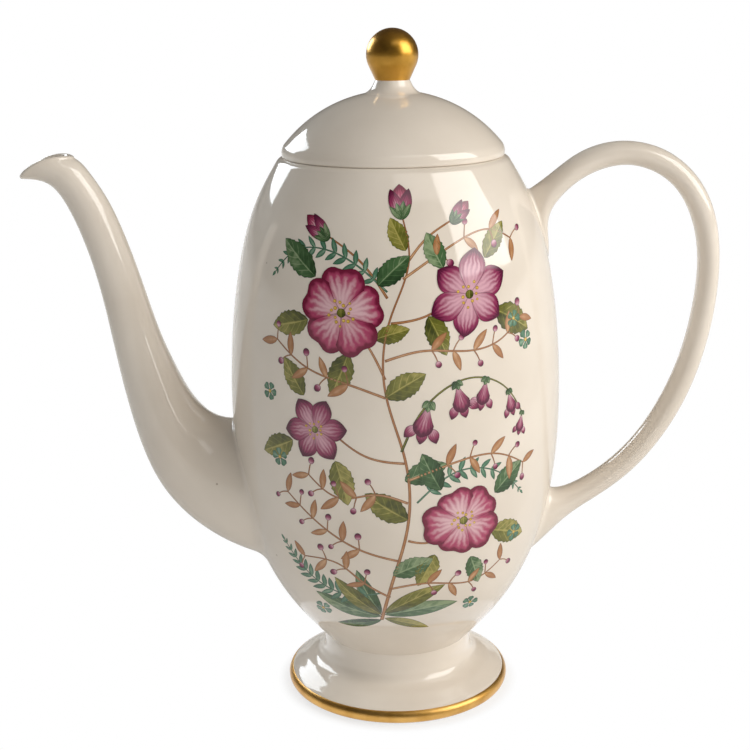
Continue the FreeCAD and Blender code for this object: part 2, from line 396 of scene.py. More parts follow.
class PierceTree(ShapeTree):
    """Bores a round hole at each point of a second object."""

    def __init__(self) -> None:
        """Builds the tree: cylinders on the points, taken away from the ware."""
        super().__init__("pierce_the_clay", {
            "Holes": "NodeSocketObject", "Radius": "NodeSocketFloat",
            "Depth": "NodeSocketFloat", "Turn": "NodeSocketVector",
        })
        spots = self.other("Holes")
        drill = self.add("GeometryNodeMeshCylinder", None, {
            "Vertices": 32, "Radius": self.input("Radius"), "Depth": self.input("Depth"),
        })
        drills = self.add("GeometryNodeInstanceOnPoints", None, {
            "Points": spots, "Instance": drill, "Rotation": self.input("Turn"),
        })
        real = self.add("GeometryNodeRealizeInstances", None, {"Geometry": drills})
        self.close(self.add(
            "GeometryNodeMeshBoolean", {"operation": "DIFFERENCE", "solver": "MANIFOLD"},
            {"Mesh 1": self.input("Geometry"), "Mesh 2": real},
        ))


class PlaceTree(ShapeTree):
    """Sets a drawn motif on points that carry its turn, size and squeeze."""

    def __init__(self) -> None:
        """Builds the tree: one motif on each point, with a small seeded spread."""
        super().__init__("place_motifs", {
            "Motif": "NodeSocketObject", "Turn spread": "NodeSocketFloat",
            "Size spread": "NodeSocketFloat", "Seed": "NodeSocketInt",
        })
        motif = self.other("Motif")
        turn = self._read("turn") + self._spread("Turn spread", 1)
        size = self._read("size") * (self._spread("Size spread", 2) + 1.0)
        placed = self.add("GeometryNodeInstanceOnPoints", None, {
            "Points": self.input("Geometry"), "Instance": motif,
            "Rotation": self.add("ShaderNodeCombineXYZ", None, {"Z": turn}),
            "Scale": self.add("ShaderNodeCombineXYZ", None,
                              {"X": size * self._read("squeeze"), "Y": size, "Z": 1.0}),
        })
        self.close(placed)

    def _read(self, name: str) -> Value:
        """Reads a named number of the points."""
        return self.add(
            "GeometryNodeInputNamedAttribute", {"data_type": "FLOAT"}, {"Name": name}, "Attribute"
        )

    def _spread(self, name: str, shift: int) -> Value:
        """Gives a seeded number either side of zero, as wide as the named input.

        Args:
            name: the input that holds the width.
            shift: what sets this draw apart from the others.

        Returns:
            The number, for each point.
        """
        seed = self.input("Seed") + float(shift)
        width = self.input(name)
        made = self.add("FunctionNodeRandomValue", {"data_type": "FLOAT"}, {"Seed": seed}, 1)
        return (made - 0.5) * 2.0 * width


class WrapTree(ShapeTree):
    """Lays a flat print on a turned form: across goes round it and up goes along its profile."""

    def __init__(self) -> None:
        """Builds the tree: each point is looked up along the profile and turned about Z."""
        super().__init__("wrap_print", {
            "Sheets": "NodeSocketCollection", "Profile": "NodeSocketObject",
            "Start": "NodeSocketFloat",
        })
        sheets = self.add("GeometryNodeCollectionInfo", None, {"Collection": self.input("Sheets")})
        flat = self.add("GeometryNodeRealizeInstances", None, {"Geometry": sheets})
        curve = self.add("GeometryNodeMeshToCurve", None, {"Mesh": self.other("Profile")})
        at = self.split(self.add("GeometryNodeInputPosition"))
        sample = self.add(
            "GeometryNodeSampleCurve", {"mode": "LENGTH", "use_all_curves": True},
            {"Curves": curve, "Length": at["Y"] + self.input("Start")}, "Position",
        )
        spot = self.split(sample)
        way = self.split(sample["Tangent"])
        out = spot["X"] + way["Z"] * at["Z"]
        turn = at["X"] / spot["X"] - math.pi / 2
        where = self.around(out, turn, spot["Z"] - way["X"] * at["Z"])
        front = self.add("GeometryNodeSetPosition", None, {"Geometry": flat, "Position": where})
        back = self.add(
            "GeometryNodeTransform", None, {"Geometry": front, "Rotation": (0.0, 0.0, math.pi)}
        )
        both = self.add("GeometryNodeJoinGeometry", None, {0: front})
        self.tree.links.new(back.socket, both.socket.node.inputs[0])
        self.close(self.add("GeometryNodeSetShadeSmooth", None, {"Geometry": both}))


class Trees:
    """The shape trees, each built once."""

    def __init__(self) -> None:
        """Builds the trees."""
        self.lathe = LatheTree()
        self.pierce = PierceTree()
        self.place = PlaceTree()
        self.wrap = WrapTree()


def new_object(name: str, points: Any, faces: Any = (), edges: Any = ()) -> bpy.types.Object:
    """Makes a mesh object from points in millimetres.

    Args:
        name: the object's name.
        points: rows of three numbers.
        faces: rows of point numbers.
        edges: pairs of point numbers.

    Returns:
        The object, linked to the scene.
    """
    mesh = bpy.data.meshes.new(name)
    places = (np.asarray(points, float).reshape(-1, 3) * MM).tolist()
    mesh.from_pydata(places, [tuple(e) for e in edges], [tuple(f) for f in faces])
    obj = bpy.data.objects.new(name, mesh)
    bpy.context.scene.collection.objects.link(obj)
    return obj


def tidy_mesh(obj: bpy.types.Object, sharp: float = 40.0) -> bpy.types.Object:
    """Turns faces outwards, shades smooth and keeps steep edges crisp.

    Args:
        obj: a closed mesh object.
        sharp: the angle in degrees past which an edge stays crisp.

    Returns:
        The same object.
    """
    work = bmesh.new()
    work.from_mesh(obj.data)
    bmesh.ops.recalc_face_normals(work, faces=work.faces[:])
    work.to_mesh(obj.data)
    work.free()
    obj.data.shade_smooth()
    obj.data.set_sharp_from_angle(angle=math.radians(sharp))
    return obj


def profile_object(name: str, outline: Sequence[Pair]) -> bpy.types.Object:
    """Makes a row of joined points from radius and height pairs in millimetres."""
    points = [(r, 0.0, z) for r, z in outline]
    return new_object(name, points, edges=[(i, i + 1) for i in range(len(points) - 1)])


def turned(trees: Trees, name: str, outline: Sequence[Pair], material: bpy.types.Material,
           segments: int) -> bpy.types.Object:
    """Turns an outline into a closed piece.

    Args:
        trees: the shape trees.
        name: the piece's name.
        outline: radius and height pairs in millimetres, from axis to axis or back to the start.
        material: its finish.
        segments: how many steps round.

    Returns:
        The piece.
    """
    obj = profile_object(name, outline)
    trees.lathe.shape(obj, {"Segments": segments, "Material": material})
    return tidy_mesh(obj)


def remove(obj: bpy.types.Object) -> None:
    """Takes a helper object and its mesh out of the file.

    Args:
        obj: the helper.
    """
    mesh = obj.data
    bpy.data.objects.remove(obj)
    bpy.data.meshes.remove(mesh)


def pierce(trees: Trees, obj: bpy.types.Object, spots: Any, radius: float, depth: float, tilt: float,
           material: bpy.types.Material) -> None:
    """Bores round holes through a turned piece.

    Args:
        trees: the shape trees.
        obj: the piece.
        spots: the middles of the holes in millimetres.
        radius: their radius.
        depth: the length of the drill.
        tilt: the turn of the drill about Y from upright, in radians.
        material: the piece's finish.
    """
    holes = new_object("holes", spots)
    trees.pierce.shape(obj, {
        "Holes": holes, "Radius": radius * MM, "Depth": depth * MM, "Turn": (0.0, tilt, 0.0),
        "Material": material,
    })
    remove(holes)
    tidy_mesh(obj)


def write_values(obj: bpy.types.Object, values: dict[str, Any]) -> None:
    """Writes named numbers on the points of a mesh.

    Args:
        obj: the mesh object.
        values: one number for each point, by name.
    """
    for label, numbers in values.items():
        store = obj.data.attributes.new(label, "FLOAT", "POINT")
        store.data.foreach_set("value", np.asarray(numbers, np.float32))


def last_inside(test: Callable[[np.ndarray], np.ndarray], count: int, inner: float,
                outer: float) -> np.ndarray:
    """Finds, by halving, where each of several lines leaves a region.

    Args:
        test: tells for each line whether a place along it is inside.
        count: how many lines.
        inner: a place along them inside the region.
        outer: a place outside it.

    Returns:
        The place along each line.
    """
    low = np.full(count, inner)
    high = np.full(count, outer)
    for _ in range(HALVINGS):
        middle = (low + high) / 2
        within = test(middle)
        low = np.where(within, middle, low)
        high = np.where(within, high, middle)
    return (low + high) / 2


def bearing(way: Sequence[float]) -> float:
    """Gives a flat direction as degrees from pointing right."""
    return math.degrees(math.atan2(way[1], way[0]))


def settle(obj: bpy.types.Object, body: str, nodes: Sequence[str] = ()) -> None:
    """Makes a finished piece ride on its body in place of the solids it stands for.

    Args:
        obj: the piece.
        body: the body it moves with.
        nodes: the solids that it stands for.
    """
    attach(obj, body)
    if nodes:
        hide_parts(*nodes)
    LOG.info("%s: %d faces, rides on %s", obj.name, len(obj.data.polygons), body)


class Finish:
    """Base of every finish: starts an empty material and joins a surface to its output."""

    @staticmethod
    def start(name: str) -> tuple[bpy.types.Material, Graph]:
        """Makes an empty node material.

        Args:
            name: the material's name.

        Returns:
            The material and its graph.
        """
        material = bpy.data.materials.new(name)
        material.use_nodes = True
        material.node_tree.nodes.clear()
        return material, Graph(material.node_tree)

    @staticmethod
    def end(graph: Graph, surface: Value) -> None:
        """Joins a surface to the material's output."""
        out = graph.tree.nodes.new("ShaderNodeOutputMaterial")
        graph.tree.links.new(surface.socket, out.inputs["Surface"])


@dataclass(frozen=True)
class Glaze(Finish):
    """Clear glossy glaze over ivory clay, with faint mottling, rare specks and turning rings."""

    light: Colour = tone("eae0d3")
    dark: Colour = tone("e2d7c9")
    speck: Colour = tone("8d7458")
    speck_cells: float = 95.0
    speck_chance: Pair = (0.965, 0.975)
    speck_round: Pair = (0.05, 0.02)
    speck_depth: float = 0.6
    gloss: float = 0.075
    gloss_spread: float = 0.05
    index: float = 1.66
    wave: float = 0.022
    wave_height: float = 0.0012
    ring_rate: float = 1650.0
    ring_height: float = 0.035
    ring_wobble: float = 2.2
    ring_fade: Pair = (0.105, 0.04)

    def coat(self, graph: Graph, colour: Value, rings: Value | None = None) -> Value:
        """Lays the glaze's gloss and slow waves over a colour.

        Args:
            graph: the material's graph.
            colour: the colour below the glaze.
            rings: extra height, such as turning rings.

        Returns:
            The finished surface.
        """
        slow = graph.noise(32.0, 0.0) * 0.8 + graph.noise(120.0, 1.0) * 0.05
        height = slow if rings is None else slow + rings
        bump = graph.add("ShaderNodeBump", None, {
            "Strength": self.wave, "Distance": self.wave_height, "Height": height,
        })
        rough = graph.noise(55.0, 3.0) * self.gloss_spread + (self.gloss - self.gloss_spread / 2)
        return graph.add("ShaderNodeBsdfPrincipled", None, {
            "Base Color": colour, "Roughness": rough, "Normal": bump, "IOR": self.index,
        })

    def clay(self, graph: Graph) -> Value:
        """Gives the mottled ivory with rare iron specks.

        Args:
            graph: the material's graph.

        Returns:
            The colour.
        """
        cloud = graph.smooth(0.3, 0.7, graph.noise(26.0, 4.0))
        base = graph.mix(cloud, self.light, self.dark)
        cells = graph.add("ShaderNodeTexVoronoi", None, {
            "Vector": graph.where(), "Scale": self.speck_cells,
        })
        chance = graph.add("ShaderNodeSeparateColor", None, {0: cells["Color"]}, "Red")
        dot = graph.smooth(*self.speck_round, cells) * graph.smooth(*self.speck_chance, chance)
        return graph.mix(dot * self.speck_depth, base, self.speck)

    def material(self, name: str, ringed: bool = False) -> bpy.types.Material:
        """Makes the plain glaze.

        Args:
            name: the material's name.
            ringed: whether faint turning rings show low on the form.

        Returns:
            The material.
        """
        material, graph = self.start(name)
        rings = None
        if ringed:
            up = graph.split(graph.where())["Z"]
            wobble = graph.noise(12.0, 0.0) * self.ring_wobble
            fade = graph.smooth(*self.ring_fade, up)
            rings = graph.sum("SINE", up * self.ring_rate + wobble) * self.ring_height * fade
        self.end(graph, self.coat(graph, self.clay(graph), rings))
        return material


@dataclass(frozen=True)
class GoldLustre(Finish):
    """Burnished gilding with brush streaks, soft dulling and thin worn places."""

    bright: Colour = tone("e0aa46")
    deep: Colour = tone("c79231")
    worn: Colour = tone("d9c7a0")
    gloss: float = 0.33
    brush_scale: tuple[float, float, float] = (30.0, 30.0, 420.0)
    brush_bump: float = 0.012
    brush_height: float = 0.0004

    def material(self, name: str) -> bpy.types.Material:
        """Makes the gilding.

        Args:
            name: the material's name.

        Returns:
            The material.
        """
        material, graph = self.start(name)
        drawn = graph.add("ShaderNodeMapping", None, {"Vector": graph.where(), "Scale": self.brush_scale})
        brush = graph.noise(6.0, 2.0, drawn)
        cloud = graph.noise(120.0, 4.0)
        colour = graph.mix(graph.smooth(0.32, 0.72, cloud), self.bright, self.deep)
        thin = graph.smooth(0.71, 0.80, graph.noise(260.0, 5.0))
        bump = graph.add("ShaderNodeBump", None, {
            "Strength": self.brush_bump, "Distance": self.brush_height,
            "Height": brush * 0.35 + cloud * 0.3,
        })
        self.end(graph, graph.add("ShaderNodeBsdfPrincipled", None, {
            "Base Color": graph.mix(thin * 0.45, colour, self.worn),
            "Metallic": 1.0 - thin * 0.3,
            "Roughness": brush * 0.10 + cloud * 0.08 + (self.gloss - 0.08),
            "Normal": bump, "Coat Weight": 0.35, "Coat Roughness": 0.2, "Coat IOR": 1.6,
        }))
        return material


class Marking(Enum):
    """How a printed shape is shaded inside its outline."""

    STREAKS = "streaks"
    VEINS = "veins"
    PLAIN = "plain"


@dataclass(frozen=True)
class Enamel(Finish):
    """Printed colour below the glaze, shaded from pale to deep with a drawn outline."""

    pale: Colour
    middle: Colour
    deep: Colour
    outline: Colour
    marking: Marking
    glaze: Glaze = Glaze()

    def _share(self, graph: Graph) -> Value:
        """Gives how deep the colour is over a shape, by its own marking.

        Args:
            graph: the material's graph.

        Returns:
            A number, about 0 where the colour is pale and 1 where it is deep.
        """
        across = graph.attribute("across")
        along = graph.attribute("along")
        tint = graph.attribute("tint")
        grain = graph.noise(420.0, 2.0)
        if self.marking is Marking.STREAKS:
            rim = graph.smooth(2.6, 0.3, graph.attribute("edge"))
            streak = graph.sum("SINE", across * 19.0 + grain * 7.0 + tint * 40.0)
            body = along * along * 0.62 + rim * along * 0.55
            return body + streak * along * 0.15 + tint * 0.16 - 0.02
        if self.marking is Marking.VEINS:
            side = graph.sum("SIGN", across) * 0.13
            rib = graph.sum("PINGPONG", along * 6.0 - abs(across) * 1.5 + 8.0, 0.5)
            vein = graph.smooth(0.10, 0.02, rib) * graph.smooth(0.98, 0.6, abs(across))
            spine = graph.smooth(0.10, 0.03, abs(across))
            ground = side + 0.74 - along * 0.40 + (grain - 0.5) * 0.8 + (tint - 0.5) * 0.5
            return ground - graph.sum("MAXIMUM", vein * 0.28, spine * 0.45)
        return abs(across) * 0.35 + along * 0.2 + grain * 0.5 + tint * 0.2 - 0.15

    def material(self, name: str) -> bpy.types.Material:
        """Makes the printed colour.

        Args:
            name: the material's name.

        Returns:
            The material.
        """
        material, graph = self.start(name)
        share = self._share(graph)
        low = graph.mix(graph.smooth(0.0, 0.5, share), self.pale, self.middle)
        ground = graph.mix(graph.smooth(0.45, 1.0, share), low, self.deep)
        line = graph.smooth(0.34, 0.10, graph.attribute("edge"))
        colour = graph.mix(line * 0.6, ground, self.outline)
        self.end(graph, self.glaze.coat(graph, colour))
        return material


@dataclass(frozen=True)
class PotBody:
    """Egg-shaped body of revolution: sizes in millimetres.

    The heel's points are set in from the wall and up from the floor; the neck's are set in from the mouth.
    """

    outline: tuple[Pair, ...] = (
        (27.4, 21.0), (42.4, 40.0), (55.0, 72.0), (58.6, 112.0),
        (55.1, 155.0), (47.3, 182.5), (39.4, 196.6),
    )
    base: Pair = (26.6, 21.0)
    wall: float = 3.2
    floor: float = 25.2
    inside_low: float = 27.7
    inside_top: float = 190.0
    heel: tuple[Pair, ...] = ((1.2, 0.9), (3.5, 0.0))
    mouth: float = 35.4
    neck: tuple[Pair, ...] = ((0.0, 193.2), (0.02, 191.5))
    rim_round: float = 3.4
    lip_round: float = 0.55
    belly: float = 112.0
    strainer_height: float = 77.0
    strainer_pitch: float = 9.0
    strainer_hole: float = 2.75
    drill: float = 30.0

    def side(self, count: int = 240) -> np.ndarray:
        """Gives the outside as rows of radius and height."""
        return SmoothPath(self.outline).even(count)

    def radius(self, height: np.ndarray) -> np.ndarray:
        """Gives the outside radius at heights."""
        rows = self.side(900)
        return np.interp(height, rows[:, 1], rows[:, 0])

    def slope(self, height: np.ndarray) -> np.ndarray:
        """Gives how fast the outside radius grows with height."""
        step = 0.4
        return (self.radius(height + step) - self.radius(height - step)) / (2 * step)

    def onto(self, points: np.ndarray) -> tuple[np.ndarray, np.ndarray]:
        """Moves points level onto the outside.

        Args:
            points: rows of three numbers in millimetres.

        Returns:
            The points on the outside, and the outward normals there.
        """
        turn = np.arctan2(points[:, 1], points[:, 0])
        radius = self.radius(points[:, 2])
        on = np.stack([radius * np.cos(turn), radius * np.sin(turn), points[:, 2]], axis=1)
        normal = unit(np.stack([np.cos(turn), np.sin(turn), -self.slope(points[:, 2])], axis=1))
        return on, normal

    def belly_length(self) -> float:
        """Gives the length of the outside profile from its bottom to the belly.

        Returns:
            The length in millimetres.
        """
        rows = self.side(900)
        low = rows[rows[:, 1] <= self.belly]
        return float(np.linalg.norm(np.diff(low, axis=0), axis=1).sum())

    def _outside(self) -> list[Pair]:
        """Draws the side and the rim, whose large round leaves the side smoothly.

        Returns:
            Radius and height pairs from the bottom to the mouth.
        """
        below_top, clear = 1.5, 0.1
        rows = self.side()
        top = rows[-1, 1]
        lean = math.atan(-float(self.slope(rows[-1, 1:] - below_top)[0]))
        start = top - self.rim_round * (1 - math.sin(lean))
        side = rows[rows[:, 1] < start - clear]
        middle = float(self.radius(np.array([start]))[0]) - self.rim_round * math.cos(lean)
        crown = arc((middle, top - self.rim_round), self.rim_round, math.degrees(lean), 90, 14)
        lip = arc((self.mouth + self.lip_round, top - self.lip_round), self.lip_round, 90, 180, 6)
        return [*map(tuple, side), *crown, *lip]

    def _inside(self) -> list[Pair]:
        """Gives the hollow from the neck down to the middle of its floor.

        Returns:
            Radius and height pairs.
        """
        side = self.side()
        way = unit(np.gradient(side, axis=0))
        rows = side - np.stack([way[:, 1], -way[:, 0]], axis=1) * self.wall
        rows = rows[(rows[:, 1] > self.inside_low) & (rows[:, 1] < self.inside_top)][::-2]
        neck = [(self.mouth - inset, height) for inset, height in self.neck]
        heel = [(rows[-1, 0] - inset, self.floor + rise) for inset, rise in self.heel]
        return [*neck, *map(tuple, rows), *heel, (0.0, self.floor)]

    def build(self, trees: Trees, material: bpy.types.Material) -> None:
        """Turns the body, hollow and with its strainer.

        Args:
            trees: the shape trees.
            material: the glaze.
        """
        rows = [(0.0, self.base[1]), self.base, *self._outside(), *self._inside()]
        obj = turned(trees, "body", rows, material, 256)
        spots = [(0.0, 0.0), *arc((0.0, 0.0), self.strainer_pitch, 30, 330, 6)]
        at = float(self.radius(np.array([self.strainer_height]))[0])
        holes = [(-at, y, self.strainer_height + z) for y, z in spots]
        pierce(trees, obj, holes, self.strainer_hole, self.drill, math.pi / 2, material)
        settle(obj, "pot", ("body_bowl", "body_shoulder"))


@dataclass(frozen=True)
class PedestalFoot:
    """Flared hollow foot with a gilded rim: sizes in millimetres, turns round the rim in degrees."""

    top: Pair = (27.0, 21.0)
    shoulder: tuple[Pair, ...] = (
        (27.05, 16.6), (27.3, 13.9), (28.2, 11.6), (30.2, 9.9), (33.3, 8.7), (36.4, 7.1),
    )
    rim: Pair = (38.3, 2.9)
    rim_round: float = 2.6
    rim_arc: Pair = (50.0, -72.0)
    stand: tuple[Pair, ...] = ((38.4, 0.32), (37.7, 0.0))
    stand_middle: Pair = (36.0, 0.0)
    recess: tuple[Pair, ...] = ((33.4, 0.0), (32.0, 3.4), (26.4, 7.6), (22.0, 13.4), (20.0, 21.0))
    recess_top: Pair = (23.5, 21.0)
    gilding: float = 0.4
    gold_arc: Pair = (66.0, -40.0)
    gold_proud: float = 0.2
    gold_lap: float = 1.6
    gold_sunk: float = 0.05

    def _cove(self) -> list[Pair]:
        """Gives the outside from the neck to the rim, led into the rim's round.

        Returns:
            Radius and height pairs.
        """
        lead = arc(self.rim, self.rim_round, self.rim_arc[0], 0.0, 3)
        path = SmoothPath([self.top, *self.shoulder, *lead])
        return [tuple(p) for p in path.at(np.linspace(0.0, path.places[-len(lead)], 60))]

    def _band(self) -> list[Pair]:
        """Gives the section of the gold band, which thins out under the glaze at both edges.

        Returns:
            Radius and height pairs that end where they start.
        """
        high, low = self.gold_arc
        outer = arc(self.rim, self.rim_round + self.gilding * self.gold_proud, high, low, 34)
        inner = arc(self.rim, self.rim_round - self.gilding, low, high, 22)
        sunk = self.rim_round - self.gold_sunk
        top, foot = (arc(self.rim, sunk, a, a, 1)[0] for a in (high + self.gold_lap, low - self.gold_lap))
        return [top, *outer, foot, *inner, top]

    def build(self, trees: Trees, glaze: bpy.types.Material, gold: bpy.types.Material) -> None:
        """Turns the foot and its gold band.

        Args:
            trees: the shape trees.
            glaze: the foot's glaze.
            gold: the band's gilding.
        """
        rim = arc(self.rim, self.rim_round, *self.rim_arc, 30)
        stand = SmoothPath([rim[-1], *self.stand]).even(5)[1:]
        recess = SmoothPath(self.recess).even(26)
        rows = [*self._cove(), *rim[1:], *map(tuple, stand), self.stand_middle, *map(tuple, recess)]
        obj = turned(trees, "foot", [*rows, self.recess_top, self.top], glaze, 224)
        settle(obj, "pot", ("pedestal_foot",))
        band = turned(trees, "foot_gold_band", self._band(), gold, 224)
        settle(band, "pot", ("foot_gilding",))


class OvalLoft:
    """Limb of oval sections, each given by the two ends of its long axis in the XZ plane."""

    # Step that the limb's direction is read over; the fillet's pull, and its rise and depth at the body.
    STEP: float = 2e-4
    PULL: float = 0.62
    PROUD: float = 0.012
    SUNK: float = 0.5

    def __init__(self, stations: Sequence[tuple[Pair, Pair, float, float]]) -> None:
        """Works out the limb.

        Args:
            stations: first point, second point, half width and narrowing towards the second point.
        """
        rows = np.array([[*a, *b, width, narrow] for a, b, width, narrow in stations])
        middle = (rows[:, 0:2] + rows[:, 2:4]) / 2
        run = np.concatenate([[0.0], np.cumsum(np.linalg.norm(np.diff(middle, axis=0), axis=1))])
        self.path = SmoothPath(rows, run / run[-1])

    def point(self, along: np.ndarray, turn: np.ndarray, inset: np.ndarray | float = 0.0) -> np.ndarray:
        """Gives points of the limb's surface.

        Args:
            along: places along the limb from 0 to 1.
            turn: angles round the section, 0 at the second point.
            inset: how far inside the surface.

        Returns:
            Rows of three numbers.
        """
        at = self.path.at(along)
        middle = (at[:, 0:2] + at[:, 2:4]) / 2
        reach = (at[:, 2:4] - at[:, 0:2]) / 2
        half = np.linalg.norm(reach, axis=1)
        lift = (reach / half[:, None]) * ((half - inset) * np.cos(turn))[:, None]
        side = (at[:, 4] - inset) * np.sin(turn) * (1 + at[:, 5] * np.cos(turn))
        flat = middle + lift
        return np.stack([flat[:, 0], side, flat[:, 1]], axis=1)

    def crossing(self, body: PotBody, turn: np.ndarray, inner: float, outer: float,
                 inset: float = 0.0, depth: float = 0.0) -> np.ndarray:
        """Finds where each line along the limb passes through the body's outside.

        Args:
            body: the body.
            turn: the lines' angles.
            inner: a place along the limb inside the body.
            outer: a place outside it.
            inset: how far inside the limb's surface.
            depth: how far below the body's outside.

        Returns:
            The place along the limb for each line.
        """
        def within(place: np.ndarray) -> np.ndarray:
            """Tells which lines are still inside the body."""
            at = self.point(place, turn, inset)
            return np.hypot(at[:, 0], at[:, 1]) < body.radius(at[:, 2]) - depth

        return last_inside(within, len(turn), inner, outer)

    def skirt(self, body: PotBody, turn: np.ndarray, root: np.ndarray, outward: float,
              reach: tuple[Any, Any], steps: int) -> tuple[np.ndarray, np.ndarray]:
        """Makes the slip fillet that leads from the body to the limb.

        Args:
            body: the body.
            turn: the lines' angles.
            root: where each line leaves the body.
            outward: 1 where the limb runs away from the body as its place grows, and -1 otherwise.
            reach: how far the fillet goes along the limb and over the body, for all lines or each.
            steps: how many rings.

        Returns:
            The rings from below the body's outside to the limb, and the places where they end.
        """
        small = self.STEP * outward
        start = self.point(root, turn)
        speed = np.linalg.norm(self.point(root + small, turn) - start, axis=1) / abs(small)
        place = root + outward * reach[0] / speed
        top = self.point(place, turn)
        limb_way = unit(self.point(place + small, turn) - top)
        _, normal = body.onto(start)
        round_way = np.roll(start, -1, axis=0) - np.roll(start, 1, axis=0)
        body_way = unit(np.cross(normal, round_way))
        away = np.sign(np.sum(body_way * (start - start.mean(axis=0)), axis=1, keepdims=True).mean())
        body_way = body_way * away
        over = np.broadcast_to(reach[1], turn.shape)[:, None]
        foot, foot_normal = body.onto(start + body_way * over)
        body_way = unit(body_way - foot_normal * np.sum(body_way * foot_normal, axis=1, keepdims=True))
        pull = [self.PULL * np.linalg.norm(p - start, axis=1, keepdims=True) for p in (foot, top)]
        first = foot + foot_normal * self.PROUD
        bends = [first, foot - body_way * pull[0], top - limb_way * pull[1], top]
        rings = [foot - foot_normal * self.SUNK]
        for q in np.linspace(0, 1, steps):
            shares = (1 - q) ** 3, 3 * q * (1 - q) ** 2, 3 * q * q * (1 - q), q**3
            rings.append(sum(s * b for s, b in zip(shares, bends)))
        return np.array(rings), place


def skin(name: str, rings: np.ndarray, material: bpy.types.Material, tops: bool) -> bpy.types.Object:
    """Makes a closed mesh from rings of points.

    Args:
        name: the piece's name.
        rings: rings by points by three numbers, in millimetres.
        material: its finish.
        tops: whether the two end rings are closed by fans; the last ring joins the first otherwise.

    Returns:
        The piece.
    """
    count, across = rings.shape[:2]
    points = rings.reshape(-1, 3)
    faces = []
    for i in range(count - 1 if tops else count):
        a, b = i * across, ((i + 1) % count) * across
        faces += [(a + j, a + (j + 1) % across, b + (j + 1) % across, b + j) for j in range(across)]
    if tops:
        ends = np.array([rings[0].mean(axis=0), rings[-1].mean(axis=0)])
        points = np.concatenate([points, ends])
        last = (count - 1) * across
        faces += [(count * across, (j + 1) % across, j) for j in range(across)]
        faces += [(count * across + 1, last + j, last + (j + 1) % across) for j in range(across)]
    obj = new_object(name, points, faces)
    obj.data.materials.append(material)
    return tidy_mesh(obj, sharp=60.0)


